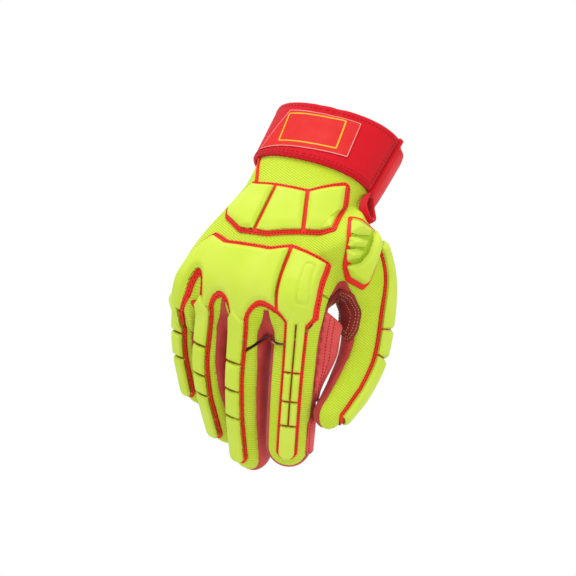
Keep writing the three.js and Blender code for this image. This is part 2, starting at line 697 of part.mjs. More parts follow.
// Everything on the back side of the seam, grown by a clearance
function backSide(grow) {
  const rows = 10;
  const columns = 16;
  const reach = 100;
  const low = -(KNUCKLE_DROP + FINGER_LENGTH + 20);
  const rings = Array.from({ length: rows + 1 }, (_, j) => {
    const z = 10 + ((low - 10) * j) / rows;
    const seam = Array.from({ length: columns + 1 }, (__, i) => {
      const x = -reach + (2 * reach * i) / columns;
      return vec(x, seamY(x, z) + grow, z);
    });
    return [vec(-reach, -reach, z), ...seam, vec(reach, -reach, z)];
  });
  const half = 25;
  const thumbRings = Array.from({ length: 8 }, (_, i) => {
    const frame = thumbFrame((i / 7) * (thumbLength + THUMB_RADIUS) - grow);
    const corner = (u, v) => frame.centre.clone().addScaledVector(frame.side, u)
      .addScaledVector(frame.normal, v);
    return [corner(-half - grow, -grow), corner(half + grow, -grow),
      corner(half + grow, half), corner(-half - grow, half)];
  });
  return solid(loft(rings)).add(solid(loft(thumbRings)));
}

// The thumb from its own seam to its tip
function thumbPart(grow) {
  const from = THUMB_SEAM * thumbLength - grow;
  return solid(loft(Array.from({ length: 7 }, (_, i) => {
    const frame = thumbFrame(from + (i / 6) * (thumbLength + THUMB_RADIUS - from));
    const half = THUMB_SIDE * frame.radius + 3;
    const corner = (u, v) => frame.centre.clone().addScaledVector(frame.side, u)
      .addScaledVector(frame.normal, v);
    return [corner(-half, -half), corner(half, -half), corner(half, half), corner(-half, half)];
  })));
}

// One finger's room below the crotches, between the middles of the gaps beside it and clear of the thumb
const STALL_TOP = 1.26 * KNUCKLE_DROP;
const STALL_CORNER = { x: 0.74 * HAND_HALF_WIDTH, y: 1.1 * HAND_HALF_DEPTH };
const STALL_EDGE = 1.4 * HAND_HALF_WIDTH;
function stallRoom(i, grow) {
  const reach = 100;
  const low = -(KNUCKLE_DROP + FINGER_LENGTH + 20);
  const middle = (a, b, z) => (axisX(a, z) + a.halfWidth + axisX(b, z) - b.halfWidth) / 2;
  return solid(loft([-STALL_TOP + grow, low].map((z) => {
    const left = i > 0 ? middle(fingers[i - 1], fingers[i], z) - grow : -reach;
    if (fingers[i] !== index) {
      const right = middle(fingers[i], fingers[i + 1], z) + grow;
      return [vec(left, -reach, z), vec(left, reach, z), vec(right, reach, z), vec(right, -reach, z)];
    }
    const corner = vec(STALL_CORNER.x + grow, STALL_CORNER.y + grow, z);
    const edge = STALL_EDGE + grow;
    return [vec(left, -reach, z), vec(left, corner.y, z), corner, vec(edge, grow, z), vec(edge, -reach, z)];
  })));
}

const shell = gloveSolid(0).subtract(gloveSolid(FABRIC));
const back = backSide(0);
const backGrown = backSide(SEAM_GAP);
const thumbZone = thumbPart(0);
const thumbGrown = thumbPart(SEAM_GAP);
const posed = (manifold) => {
  const mesh = meshOf(manifold);
  return { points: mesh.points.map(pose), faces: mesh.faces };
};
const knitShell = shell.intersect(back);
const leatherShell = shell.subtract(backGrown);
const fingerRoom = fingers.map((f, i) => stallRoom(i, CLEARANCE)).reduce((a, b) => a.add(b));
addPiece('back_panel', 'knit', posed(knitShell.subtract(thumbGrown).subtract(fingerRoom)));
addPiece('palm_panel', 'leather', posed(leatherShell.subtract(thumbGrown).subtract(fingerRoom)));
fingers.forEach((f, i) => {
  const room = stallRoom(i, -CLEARANCE / 2);
  addPiece(`${f.name}_back_panel`, 'knit', posed(knitShell.intersect(room)));
  addPiece(`${f.name}_palm_panel`, 'leather', posed(leatherShell.intersect(room)));
});
addPiece('thumb_back_panel', 'knit', posed(knitShell.intersect(thumbZone)));
addPiece('thumb_palm_panel', 'leather', posed(leatherShell.intersect(thumbZone)));

const fabricRoom = solid(posed(gloveSolid(-LEAST_GAP)));

// Heights above the fabric of the base and of what is moulded on it
const BASE_LOW = CLEARANCE;
const BASE_HIGH = CLEARANCE + BASE;
const BLOCK_LOW = BASE_HIGH + CLEARANCE;

const onHand = (rows) => flat(rows.map((row) => [row.across * HAND_HALF_WIDTH, -row.down * KNUCKLE_DROP]));

// Metacarpal guard: one base with three plates between two grooves, as shares of the hand
const METACARPAL_OUTLINE = onHand([
  { across: -0.565, down: 0.46 },
  { across: -0.185, down: 0.5 },
  { across: 0.26, down: 0.488 },
  { across: 0.64, down: 0.372 },
  { across: 0.7, down: 0.375 },
  { across: 0.87, down: 0.655 },
  { across: 0.445, down: 0.72 },
  { across: 0, down: 0.783 },
  { across: -0.41, down: 0.8 },
  { across: -0.74, down: 0.734 },
  { across: -0.826, down: 0.664 },
]);
const METACARPAL_GROOVES = [
  onHand([{ across: -0.185, down: 0.5 }, { across: -0.191, down: 0.762 }]),
  onHand([{ across: 0.267, down: 0.488 }, { across: 0.44, down: 0.705 }]),
];

// A base is cut clear of the fabric; it gives back the room that its blocks are cut clear of
function addBase(name, outline, chart, edge = PLATE_EDGE, under = []) {
  addPiece(name, 'trim', plate(outline, BASE_LOW, BASE_HIGH, chart, { edge }), [fabricRoom, ...under]);
  return solid(plate(outline, BASE_LOW - BASE, BASE_HIGH + LEAST_GAP, chart, { edge }));
}

function addBandBase(name, places, chart) {
  addPiece(name, 'trim', band(places, BASE_LOW, BASE_HIGH, chart), [fabricRoom]);
  return solid(band(places, BASE_LOW - BASE, BASE_HIGH + LEAST_GAP, chart));
}

function addBlock(name, outline, height, chart, under, edge = PLATE_EDGE) {
  addPiece(name, 'moulded', plate(outline, BLOCK_LOW, BLOCK_LOW + height, chart, { chamfer: CHAMFER, edge }),
    under);
}

const metacarpalRoom = [addBase('metacarpal_base', METACARPAL_OUTLINE, onBack)];
const metacarpalTop = inset(METACARPAL_OUTLINE, TRIM);
const [grooveA, grooveB] = METACARPAL_GROOVES;
addBlock('metacarpal_plate_ulnar', clip(metacarpalTop, grooveA[1], grooveA[0], GROOVE / 2),
  METACARPAL_BLOCK, onBack, metacarpalRoom);
addBlock('metacarpal_plate_middle', clip(clip(metacarpalTop, ...grooveA, GROOVE / 2),
  grooveB[1], grooveB[0], GROOVE / 2),
  METACARPAL_BLOCK, onBack, metacarpalRoom);
addBlock('metacarpal_plate_radial', clip(metacarpalTop, ...grooveB, GROOVE / 2),
  METACARPAL_BLOCK, onBack, metacarpalRoom);

// Knuckle guard: a base whose legs run down to the finger strips round the arches between them
const stripHalfWidth = (f) => STRIP_HALF_WIDTH * f.depth;
const baseHalfWidth = (f) => stripHalfWidth(f) + TRIM;
function legCorner(f, side) {
  const p = onFinger(f)(STRIP_START, side * baseHalfWidth(f), 0);
  return new THREE.Vector2(p.x, p.z);
}
const ARCH_TOP = [0.995, 1.05, 1.05]; // shares of KNUCKLE_DROP, from the pinky's side
const ARCH_STEPS = 5;
function arch(from, to, top) {
  const points = [];
  for (let i = 1; i < ARCH_STEPS; i += 1) {
    const angle = (i / ARCH_STEPS) * Math.PI;
    const foot = THREE.MathUtils.lerp(from.y, to.y, i / ARCH_STEPS);
    const x = (from.x + to.x) / 2 + ((from.x - to.x) / 2) * Math.cos(angle);
    points.push(new THREE.Vector2(x, foot + (top - foot) * Math.sin(angle)));
  }
  return points;
}
const KNUCKLE_TOP = onHand([
  { across: -1.14, down: 0.96 },
  { across: -0.9, down: 0.857 },
  { across: -0.77, down: 0.816 },
  { across: -0.52, down: 0.85 },
  { across: 0.12, down: 0.831 },
  { across: 0.385, down: 0.787 },
  { across: 0.9, down: 0.796 },
  { across: 0.91, down: 0.83 },
  { across: 0.94, down: 0.96 },
  { across: 0.93, down: 1.05 },
]);
const KNUCKLE_OUTLINE = [...KNUCKLE_TOP, legCorner(index, 1), legCorner(index, -1)];
for (const [k, f] of [[2, middle], [1, ring], [0, pinky]]) {
  const from = KNUCKLE_OUTLINE[KNUCKLE_OUTLINE.length - 1];
  const to = legCorner(f, 1);
  KNUCKLE_OUTLINE.push(...arch(from, to, -ARCH_TOP[k] * KNUCKLE_DROP), to, legCorner(f, -1));
}
const KNUCKLE_GROOVE = onHand([{ across: 0.395, down: 0.787 }, { across: 0.43, down: 1.03 }]);
const knuckleRoom = [addBase('knuckle_base', KNUCKLE_OUTLINE, onBack, KNUCKLE_EDGE)];
const knuckleTop = inset(KNUCKLE_OUTLINE, TRIM);
addBlock('knuckle_plate_main', clip(knuckleTop, KNUCKLE_GROOVE[1], KNUCKLE_GROOVE[0], GROOVE / 2),
  KNUCKLE_BLOCK, onBack,
  knuckleRoom, KNUCKLE_EDGE);
addBlock('knuckle_plate_index', clip(knuckleTop, ...KNUCKLE_GROOVE, GROOVE / 2), KNUCKLE_BLOCK, onBack,
  knuckleRoom, KNUCKLE_EDGE);

// Finger strips: a base with a row of blocks between the joints
for (const f of fingers) {
  const chart = onFinger(f);
  const half = stripHalfWidth(f);
  const trimmed = baseHalfWidth(f);
  const end = f.length - STRIP_END;
  const start = STRIP_START + CLEARANCE;
  const places = [[start, trimmed], [end - half / 2, trimmed], [end + TRIM / 2, trimmed / 2]];
  const room = [addBandBase(`${f.name}_strip_base`, places, chart), ...knuckleRoom];
  const middleEnd = f.proximal + f.middle;
  const cuts = f === pinky ? [f.proximal, middleEnd]
    : [f.proximal - JOINT_BLOCK / 2, f.proximal + JOINT_BLOCK / 2, middleEnd];
  const ends = [STRIP_START - TRIM + STRIP_GAP, ...cuts, end];
  for (let i = 0; i < ends.length - 1; i += 1) {
    const from = ends[i] + STRIP_GAP / 2;
    const to = ends[i + 1] - STRIP_GAP / 2;
    const name = `${f.name}_strip_${i + 1}`;
    if (i === ends.length - 2) {
      const tip = flat([[from, -half], [to - half / 2, -half], [to, -half / 2],
        [to, half / 2], [to - half / 2, half], [from, half]]);
      addBlock(name, tip, STRIP_BLOCK, chart, room, STRIP_EDGE);
    } else if (f === index) {
      addBlock(`${name}_ulnar`, box(from, to, -half, -SLOT / 2), STRIP_BLOCK, chart, room, STRIP_EDGE);
      addBlock(`${name}_radial`, box(from, to, SLOT / 2, half), STRIP_BLOCK, chart, room, STRIP_EDGE);
    } else {
      addBlock(name, box(from, to, -half, half), STRIP_BLOCK, chart, room, STRIP_EDGE);
    }
  }
}

// Thumb strip: a base with three blocks along the back of the thumb
const thumbStripEnd = thumbLength + thumbFrame(thumbLength).radius - THUMB_STRIP_END;
const thumbTrimmed = STRIP_HALF_WIDTH + TRIM;
const thumbPlacesOf = (grow) => [[THUMB_STRIP_START - grow, thumbTrimmed / 2 + grow],
  [THUMB_STRIP_START + TRIM - grow, thumbTrimmed + grow], [thumbStripEnd - TRIM + grow, thumbTrimmed + grow],
  [thumbStripEnd + grow, thumbTrimmed / 2 + grow]];
const thumbRoom = [addBandBase('thumb_strip_base', thumbPlacesOf(0), onThumb)];
const thumbStripRoom = solid(band(thumbPlacesOf(CLEARANCE), -BASE, BLOCK_LOW + STRIP_BLOCK + BASE, onThumb));
const THUMB_CUTS = [0.506, 0.638]; // shares of the thumb's axis
const thumbPlaces = [THUMB_STRIP_START + TRIM, ...THUMB_CUTS.map((share) => share * thumbLength),
  thumbStripEnd - TRIM];
for (let i = 0; i < 3; i += 1) {
  const from = thumbPlaces[i] + STRIP_GAP / 2;
  const to = thumbPlaces[i + 1] - STRIP_GAP / 2;
  addBlock(`thumb_strip_${i + 1}`, box(from, to, -STRIP_HALF_WIDTH, STRIP_HALF_WIDTH),
    STRIP_BLOCK, onThumb, thumbRoom,
    STRIP_EDGE);
}

// Thumb guard: a base with three stacked ribs inside an L-shaped corner block, as shares of the thumb's
// reach across and of KNUCKLE_DROP down, on the face between the back and the thumb side
const onRoot = (rows) => flat(rows.map((row) => [row.across * THUMB_REACH, -row.down * KNUCKLE_DROP]));
const guardRoom = [addBase('thumb_guard_base', onRoot([
  { across: 0.414, down: 0.55 },
  { across: 0.457, down: 0.651 },
  { across: 0.585, down: 0.777 },
  { across: 0.709, down: 0.815 },
  { across: 0.915, down: 0.815 },
  { across: 0.938, down: 0.775 },
  { across: 0.879, down: 0.58 },
  { across: 0.76, down: 0.515 },
]), onThumbRoot, PLATE_EDGE, [thumbStripRoom]), thumbStripRoom];
addBlock('thumb_guard_corner', onRoot([
  { across: 0.62, down: 0.766 },
  { across: 0.716, down: 0.727 },
  { across: 0.74, down: 0.673 },
  { across: 0.715, down: 0.583 },
  { across: 0.715, down: 0.545 },
  { across: 0.825, down: 0.579 },
  { across: 0.853, down: 0.621 },
  { across: 0.882, down: 0.713 },
  { across: 0.905, down: 0.768 },
  { across: 0.883, down: 0.787 },
  { across: 0.716, down: 0.787 },
]), THUMB_RIB, onThumbRoot, guardRoom);
const RIBS = [
  [{ across: 0.465, down: 0.591 }, { across: 0.5, down: 0.578 }, { across: 0.664, down: 0.564 },
    { across: 0.672, down: 0.598 }, { across: 0.496, down: 0.652 }],
  [{ across: 0.497, down: 0.668 }, { across: 0.55, down: 0.645 }, { across: 0.681, down: 0.625 },
    { across: 0.686, down: 0.659 }, { across: 0.521, down: 0.703 }],
  [{ across: 0.53, down: 0.718 }, { across: 0.6, down: 0.691 }, { across: 0.698, down: 0.678 },
    { across: 0.69, down: 0.712 }, { across: 0.592, down: 0.75 }],
];
RIBS.forEach((rib, i) => addBlock(`thumb_guard_rib_${i + 1}`, onRoot(rib),
  THUMB_RIB, onThumbRoot, guardRoom));

// Leather patches on the index finger's thumb side and in the thumb's crotch
const PATCH = 0.9;
function addPatch(name, outline, chart, under = []) {
  const mesh = plate(outline, CLEARANCE, CLEARANCE + PATCH, chart, { edge: STRIP_EDGE });
  addPiece(name, 'leather', mesh, [fabricRoom, ...under]);
}
const sideArc = (f, degrees) => rad(degrees) * (f.halfWidth + 3);
const alongIndex = (rows) => flat(rows.map((row) => [row.at * index.length, sideArc(index, row.angle)]));
addPatch('index_side_patch_upper', alongIndex([
  { at: 0.13, angle: 68 },
  { at: 0.5, angle: 60 },
  { at: 0.6, angle: 86 },
  { at: 0.56, angle: 122 },
  { at: 0.2, angle: 126 },
]), onFinger(index));
addPatch('index_side_patch_lower', alongIndex([
  { at: 0.62, angle: 90 },
  { at: 0.68, angle: 54 },
  { at: 0.87, angle: 58 },
  { at: 0.88, angle: 100 },
  { at: 0.68, angle: 118 },
]), onFinger(index));
const alongThumb = (rows) => flat(rows.map((row) => {
  const s = row.at * thumbLength;
  return [s, rad(row.angle - stripAngle(s)) * (thumbFrame(s).radius + 3)];
}));
addPatch('thumb_crotch_patch', alongThumb([
  { at: 0.24, angle: 112 },
  { at: 0.3, angle: 84 },
  { at: 0.42, angle: 76 },
  { at: 0.54, angle: 82 },
  { at: 0.62, angle: 98 },
  { at: 0.56, angle: 140 },
  { at: 0.36, angle: 146 },
]), onThumb, guardRoom);

// Cuff: a thin band under the strap, the strap's bound end, its loop and the closure tab
const STRAP_LOW = CLEARANCE + CUFF_BAND + CLEARANCE;
const STRAP_HIGH = STRAP_LOW + STRAP;
function cuffSection(arc, low, high) {
  const round = (high - low) * 0.35;
  const corners = [[0, low], [0, high - round], [-round, high], [round - CUFF_HEIGHT, high],
    [-CUFF_HEIGHT, high - round], [-CUFF_HEIGHT, low]];
  return corners.map(([z, height]) => onWrist(arc, z, height));
}
const CUFF_SIDES = 28;
const fullTurn = 2 * Math.PI * WRIST_ARC_RADIUS;
addPiece('cuff_band', 'strap', loft(Array.from({ length: CUFF_SIDES }, (_, i) => (
  cuffSection((i / CUFF_SIDES) * fullTurn, CLEARANCE, CLEARANCE + CUFF_BAND))), true));
const STRAP_END = 46; // arc from the middle of the back to the strap's bound end
const STRAP_START = STRAP_END - 0.78 * fullTurn;
addPiece('cuff_strap', 'strap', loft(Array.from({ length: CUFF_SIDES + 1 }, (_, i) => (
  cuffSection(THREE.MathUtils.lerp(STRAP_START, STRAP_END, i / CUFF_SIDES), STRAP_LOW, STRAP_HIGH)))));
const BINDING_WIDTH = 3;
addPiece('strap_end_binding', 'strap', plate(
  box(STRAP_END + CLEARANCE, STRAP_END + CLEARANCE + BINDING_WIDTH, -CUFF_HEIGHT - 1, 1),
  STRAP_LOW, STRAP_HIGH + BINDING, onWrist, { chamfer: 1, edge: PLATE_EDGE }));
const LABEL_OUTLINE = [
  { arc: -18.4, down: 0.175 },
  { arc: 18.4, down: 0.15 },
  { arc: 20.7, down: 0.775 },
  { arc: -29, down: 0.925 },
];
addPiece('wrist_patch', 'label', plate(flat(LABEL_OUTLINE.map((row) => [row.arc, -row.down * CUFF_HEIGHT])),
  STRAP_HIGH + CLEARANCE, STRAP_HIGH + CLEARANCE + LABEL, onWrist, { edge: STRIP_EDGE }));
const tabFrom = STRAP_END + BINDING_WIDTH + 2 * CLEARANCE;
const TAB_OUTLINE = [
  { arc: 0, down: 0.075 },
  { arc: 8, down: 0.0375 },
  { arc: 15, down: 0.15 },
  { arc: 17, down: 0.5 },
  { arc: 13, down: 0.95 },
  { arc: 7, down: 1.3 },
  { arc: 2, down: 1.45 },
  { arc: 0, down: 1.35 },
];
addPiece('closure_tab', 'tab',
  plate(flat(TAB_OUTLINE.map((row) => [tabFrom + row.arc, -row.down * CUFF_HEIGHT])),
STRAP_LOW, STRAP_LOW + TAB, onWrist, { chamfer: 0.9, edge: STRIP_EDGE }), [fabricRoom]);

// Teardrop pull loop below the strap's end, by arc, level and height
const LOOP = [
  { arc: -3.6, down: 1.05, height: 3 },
  { arc: -5.5, down: 1.22, height: 5 },
  { arc: -5.5, down: 1.36, height: 8 },
  { arc: -2, down: 1.48, height: 11.5 },
  { arc: 1.6, down: 1.38, height: 10.5 },
  { arc: 1.8, down: 1.22, height: 6.5 },
  { arc: 0.6, down: 1.05, height: 3.4 },
];
const loopLine = new THREE.CatmullRomCurve3(
  LOOP.map((row) => onWrist(STRAP_END + row.arc, -row.down * CUFF_HEIGHT, row.height)));
const loopSection = new THREE.Shape(Array.from({ length: 8 }, (_, k) => {
  const angle = (k / 8) * 2 * Math.PI;
  return new THREE.Vector2(LOOP_RADIUS * Math.cos(angle), LOOP_RADIUS * Math.sin(angle));
}));
const loopTube = mergeVertices(new THREE.ExtrudeGeometry(loopSection, { steps: 24, extrudePath: loopLine })
  .deleteAttribute('normal').deleteAttribute('uv'), 1e-3);
const loopPoints = loopTube.getAttribute('position');
addPiece('pull_loop', 'strap', {
  points: Array.from({ length: loopPoints.count }, (_, i) => vec().fromBufferAttribute(loopPoints, i)),
  faces: Array.from({ length: loopTube.getIndex().count / 3 }, (_, i) => (
    [0, 1, 2].map((k) => loopTube.getIndex().getX(3 * i + k)))),
});
const BINDING_TOP = -33; // arc of the red side binding below the strap, on the little finger's side
const BINDING_FOOT = -21.5;
addPiece('side_binding', 'trim', plate(flat([[BINDING_TOP - 1.2, -CUFF_HEIGHT - CLEARANCE],
  [BINDING_TOP + 1.2, -CUFF_HEIGHT - CLEARANCE], [BINDING_FOOT + 1.2, -0.445 * KNUCKLE_DROP],
  [BINDING_FOOT - 1.2, -0.445 * KNUCKLE_DROP]]), CLEARANCE, CLEARANCE + 1.2, onWrist, { edge: STRIP_EDGE }),
[fabricRoom, ...metacarpalRoom]);

export default glove;
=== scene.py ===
"""Impact glove: fabric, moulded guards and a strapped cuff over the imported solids."""

import math
from types import SimpleNamespace

import bpy
import numpy as np
from mathutils import Matrix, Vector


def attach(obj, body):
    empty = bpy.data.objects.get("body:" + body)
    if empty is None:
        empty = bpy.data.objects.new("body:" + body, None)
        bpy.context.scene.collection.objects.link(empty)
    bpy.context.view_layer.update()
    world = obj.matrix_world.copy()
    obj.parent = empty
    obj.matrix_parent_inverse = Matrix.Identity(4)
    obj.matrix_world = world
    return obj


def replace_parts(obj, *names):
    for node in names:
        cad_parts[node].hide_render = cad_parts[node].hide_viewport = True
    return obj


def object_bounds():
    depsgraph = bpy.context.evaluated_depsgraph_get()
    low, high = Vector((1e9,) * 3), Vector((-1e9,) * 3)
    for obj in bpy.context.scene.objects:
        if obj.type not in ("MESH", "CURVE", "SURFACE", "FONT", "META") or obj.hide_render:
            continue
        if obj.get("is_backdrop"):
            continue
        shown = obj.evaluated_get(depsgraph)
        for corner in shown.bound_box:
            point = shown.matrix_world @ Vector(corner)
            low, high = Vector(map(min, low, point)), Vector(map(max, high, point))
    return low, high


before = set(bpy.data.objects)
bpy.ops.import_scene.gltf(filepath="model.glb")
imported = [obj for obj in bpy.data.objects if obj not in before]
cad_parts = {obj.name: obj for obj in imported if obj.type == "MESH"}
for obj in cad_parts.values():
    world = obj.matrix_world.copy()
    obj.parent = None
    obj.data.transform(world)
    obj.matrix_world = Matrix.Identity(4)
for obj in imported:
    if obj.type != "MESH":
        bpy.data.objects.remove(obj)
cad_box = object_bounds()

# Driving dimensions, in millimetres; the flat glove has straight fingers and is then bent by pose()
MM = 0.001
KNUCKLE_DROP = 122.0
HAND_HALF_WIDTH = 46.0
HAND_HALF_DEPTH = 24.0
FINGER_LENGTH = 107.0
FINGER_HALF_WIDTH = 13.0
FINGER_HALF_DEPTH = 12.0
THUMB_REACH = 57.5
THUMB_DROP = 175.0
THUMB_RADIUS = 20.0
FABRIC = 1.6
SEAM_Y = 2.0
FINGER_SEAM = 6.5
HAND_POWER = 2.4
FINGER_POWER = 2.2
BLEND = 1.4
CLEARANCE = 0.35
BASE = 1.0
TRIM = 2.2
RIM = 2.9
GROOVE = 2.6
BLOCK_LOW = CLEARANCE + BASE
CUFF_HEIGHT = 40.0
WRIST_ARC_RADIUS = 33.0

# Hand sections: share of KNUCKLE_DROP, then left, right, back and palm
HAND = np.array([
    [0.00, -0.89, 0.89, 1.04, 1.04],
    [0.34, -0.87, 0.83, 1.04, 1.00],
    [0.49, -0.87, 0.83, 1.04, 1.00],
    [0.66, -1.01, 0.87, 1.00, 1.12],
    [0.82, -1.15, 0.96, 0.94, 1.12],
    [1.00, -1.24, 0.96, 0.75, 0.92],
    [1.10, -1.22, 0.91, 0.58, 0.75],
    [1.20, -1.11, 0.83, 0.26, 0.50],
    [1.25, -0.91, 0.65, 0.06, 0.25],
]) * [1, HAND_HALF_WIDTH, HAND_HALF_WIDTH, HAND_HALF_DEPTH, HAND_HALF_DEPTH]

HAND_END = 1.24 * KNUCKLE_DROP

# Finger sections: share of the length, then side, back and palm shares
FINGER_ROWS = np.array([
    [-0.30, 0.80, 0.90, 0.90],
    [-0.15, 1.00, 1.32, 1.10],
    [0.00, 1.03, 1.42, 1.15],
    [0.18, 1.00, 1.17, 1.06],
    [0.36, 1.00, 1.04, 1.00],
    [0.50, 1.00, 1.00, 1.00],
    [0.70, 0.97, 0.97, 0.97],
    [0.85, 0.95, 0.94, 0.94],
    [1.00, 0.90, 0.88, 0.90],
])

# Thumb axis: shares of THUMB_REACH across, HAND_HALF_DEPTH to the palm, THUMB_DROP down, THUMB_RADIUS
THUMB_ROWS = np.array([
    [0.590, -0.375, -0.429, 1.000],
    [0.765, 0.417, -0.463, 0.950],
    [0.896, 1.104, -0.531, 0.850],
    [0.965, 1.646, -0.623, 0.750],
    [1.000, 1.917, -0.726, 0.675],
    [1.000, 1.938, -0.840, 0.590],
    [0.995, 1.833, -0.912, 0.510],
    [0.980, 1.770, -0.967, 0.450],
]) * [THUMB_REACH, HAND_HALF_DEPTH, THUMB_DROP, THUMB_RADIUS]
THUMB_SIDE = 1.1
THUMB_BACK = 0.95
THUMB_ROOT = 0.4
# Share of the thumb's length and the angle of its strip's middle line, in degrees
THUMB_STRIP_LINE = np.array([
    [0.1, -28.0], [0.25, -14.0], [0.4, 10.0], [0.55, 10.0], [0.7, -2.0], [0.85, -15.0], [1.0, -30.0]])


def unit(v):
    return v / np.maximum(np.linalg.norm(v, axis=-1, keepdims=True), 1e-9)


def smooth(t):
    t = np.clip(t, 0, 1)
    return t * t * (3 - 2 * t)


def curve(rows, t):
    """Smooth curve through table rows; the first column is the place."""
    k, v = rows[:, 0], rows[:, 1:]
    t = np.clip(np.asarray(t, float), k[0], k[-1])
    i = np.clip(np.searchsorted(k, t, side="right") - 1, 0, len(k) - 2)
    slope = np.empty_like(v)
    slope[1:-1] = (v[2:] - v[:-2]) / (k[2:] - k[:-2])[:, None]
    slope[0] = (v[1] - v[0]) / (k[1] - k[0])
    slope[-1] = (v[-1] - v[-2]) / (k[-1] - k[-2])
    h = (k[i + 1] - k[i])[..., None]
    u = (t - k[i])[..., None] / h
    return ((2 * u**3 - 3 * u**2 + 1) * v[i] + (u**3 - 2 * u**2 + u) * h * slope[i]
            + (3 * u**2 - 2 * u**3) * v[i + 1] + (u**3 - u**2) * h * slope[i + 1])


def oval(angle, side, back, palm, power):
    s, c = np.sin(angle), np.cos(angle)
    return (side * np.sign(s) * np.abs(s) ** (2 / power),
            np.where(c > 0, back, palm) * np.sign(c) * np.abs(c) ** (2 / power))


# Fingers: frame of each flat finger and the running bend of its axis
BEND_ZONES = (14.0, 11.0, 9.0)  # half lengths of the bends at the three joints
BEND_FROM = -20
BEND_STEP = 0.5
BEND_GRID = np.arange(BEND_FROM, 140.5, BEND_STEP)


def make_finger(name, knuckle, fan, roll, bends, turn, bones, width, depth, lean, strip_half):
    """One finger: angles in degrees, bones as shares of FINGER_LENGTH, lengths in millimetres."""
    fan, roll = math.radians(fan), math.radians(roll)
    across = np.array([math.cos(fan), 0, math.sin(fan)])
    back = np.array([0.0, -1.0, 0.0])
    proximal, middle, tip = np.array(bones) * FINGER_LENGTH
    joints = (0, proximal, proximal + middle)
    angle = sum(math.radians(b) * smooth((BEND_GRID - j + z) / (2 * z))
                for b, j, z in zip(bends, joints, BEND_ZONES))
    gone = lambda rate: np.concatenate([[0], np.cumsum((rate[1:] + rate[:-1]) / 2 * BEND_STEP)])
    return SimpleNamespace(
        name=name, knuckle=np.array(knuckle),
        proximal=proximal, middle=middle, length=proximal + middle + tip,
        half_width=width * FINGER_HALF_WIDTH, half_depth=depth * FINGER_HALF_DEPTH, strip_half=strip_half,
        fan=fan, roll=roll, lean=math.radians(lean), turn=math.radians(turn),
        along=np.array([math.sin(fan), 0, -math.cos(fan)]),
        side=math.cos(roll) * across - math.sin(roll) * back,
        normal=math.cos(roll) * back + math.sin(roll) * across,
        angle=angle, gone_along=gone(np.cos(angle)) + BEND_FROM, gone_out=gone(-np.sin(angle)))


FINGER_TABLE = (
    # name, knuckle, fan, roll, bends, turn, bones, width, depth, lean, strip half width
    ("pinky", (-49.06, 11.04, -118.95), -14.5, -17, (42, 14, 7), 3, (0.29, 0.14, 0.374), 0.86, 0.875, 6, 5.4),
    ("ring", (-25.05, 0.96, -120.05), -9.5, -10, (41, 18, 9), 1, (0.44, 0.2, 0.425), 0.95, 0.96, -5, 5.95),
    ("middle", (0.0, -1.92, -122.98), -3.5, -5, (41, 11, 6), 0, (0.467, 0.24, 0.405), 1.0, 1.0, -8, 6.2),
    ("index", (27.3, -0.96, -117.97), 4.5, 16, (34, 10, 5), -13, (0.486, 0.215, 0.313), 1.15, 1.0, 0, 5.8),
)
FINGERS = [make_finger(*row) for row in FINGER_TABLE]
PINKY, RING, MIDDLE, INDEX = FINGERS


def axis_x(f, z):
    return f.knuckle[0] + math.tan(f.fan) * (f.knuckle[2] - z)


def middle_x(a, b, z):
    """Halfway between the facing sides of two fingers, at a level of the flat glove."""
    return (axis_x(a, z) + a.half_width + axis_x(b, z) - b.half_width) / 2


def turned(v, axis, angle):
    c, s = np.cos(angle)[:, None], np.sin(angle)[:, None]
    return v * c + np.cross(axis, v) * s + axis * (v @ axis)[:, None] * (1 - c)


def bend_finger(f, points):
    q = points - f.knuckle
    s, u, v = q @ f.along, q @ f.side, q @ f.normal
    angle = np.where(s < BEND_FROM, 0, np.interp(s, BEND_GRID, f.angle))
    along = np.where(s < BEND_FROM, s, np.interp(s, BEND_GRID, f.gone_along)) + v * np.sin(angle)
    out = np.interp(s, BEND_GRID, f.gone_out) + v * np.cos(angle)
    q = along[:, None] * f.along + out[:, None] * f.normal + u[:, None] * f.side
    return turned(q, f.normal, -f.turn * smooth((s + BEND_ZONES[0]) / (2 * BEND_ZONES[0]))) + f.knuckle


def pose(points):
    """Bend of the flat glove into the half closed hand: neighbours share the bend above the web."""
    share = np.ones((len(FINGERS), len(points)))
    z = points[:, 2]
    for i, (a, b) in enumerate(zip(FINGERS, FINGERS[1:])):
        between = middle_x(a, b, z)
        t = np.clip(((a.knuckle[2] + b.knuckle[2]) / 2 - z + 14) / 40, 0, 1)
        half = 11 - 10 * t
        right = smooth((points[:, 0] - between + half) / (2 * half))
        share[i + 1:] *= right
        share[:i + 1] *= 1 - right
    moved = sum(w[:, None] * bend_finger(f, points) for w, f in zip(share, FINGERS))
    still = smooth((points[:, 1] - 12) / 13) * smooth((points[:, 0] - 34) / 10)
    return moved + (points - moved) * still[:, None]


THUMB_STEPS = np.concatenate([[0], np.cumsum(np.linalg.norm(np.diff(THUMB_ROWS[:, :3], axis=0), axis=1))])
THUMB_TABLE = np.column_stack([THUMB_STEPS, THUMB_ROWS])
THUMB_LENGTH = THUMB_STEPS[-1]
THUMB_NORMAL = unit(np.array([0.97, -0.06, 0.2]))


def thumb_frame(s):
    on = np.clip(s, 0, THUMB_LENGTH)
    here = curve(THUMB_TABLE, on)
    along = unit(curve(THUMB_TABLE, on + 1)[..., :3] - curve(THUMB_TABLE, on - 1)[..., :3])
    normal = unit(THUMB_NORMAL - along * (along @ THUMB_NORMAL)[..., None])
    centre = here[..., :3] + along * (s - on)[..., None]
    return centre, along, np.cross(along, normal), normal, here[..., 3]


THUMB_SAMPLES = np.arange(0, THUMB_LENGTH, 4.0)
SAMPLE_CENTRE, SAMPLE_ALONG = thumb_frame(THUMB_SAMPLES)[:2]


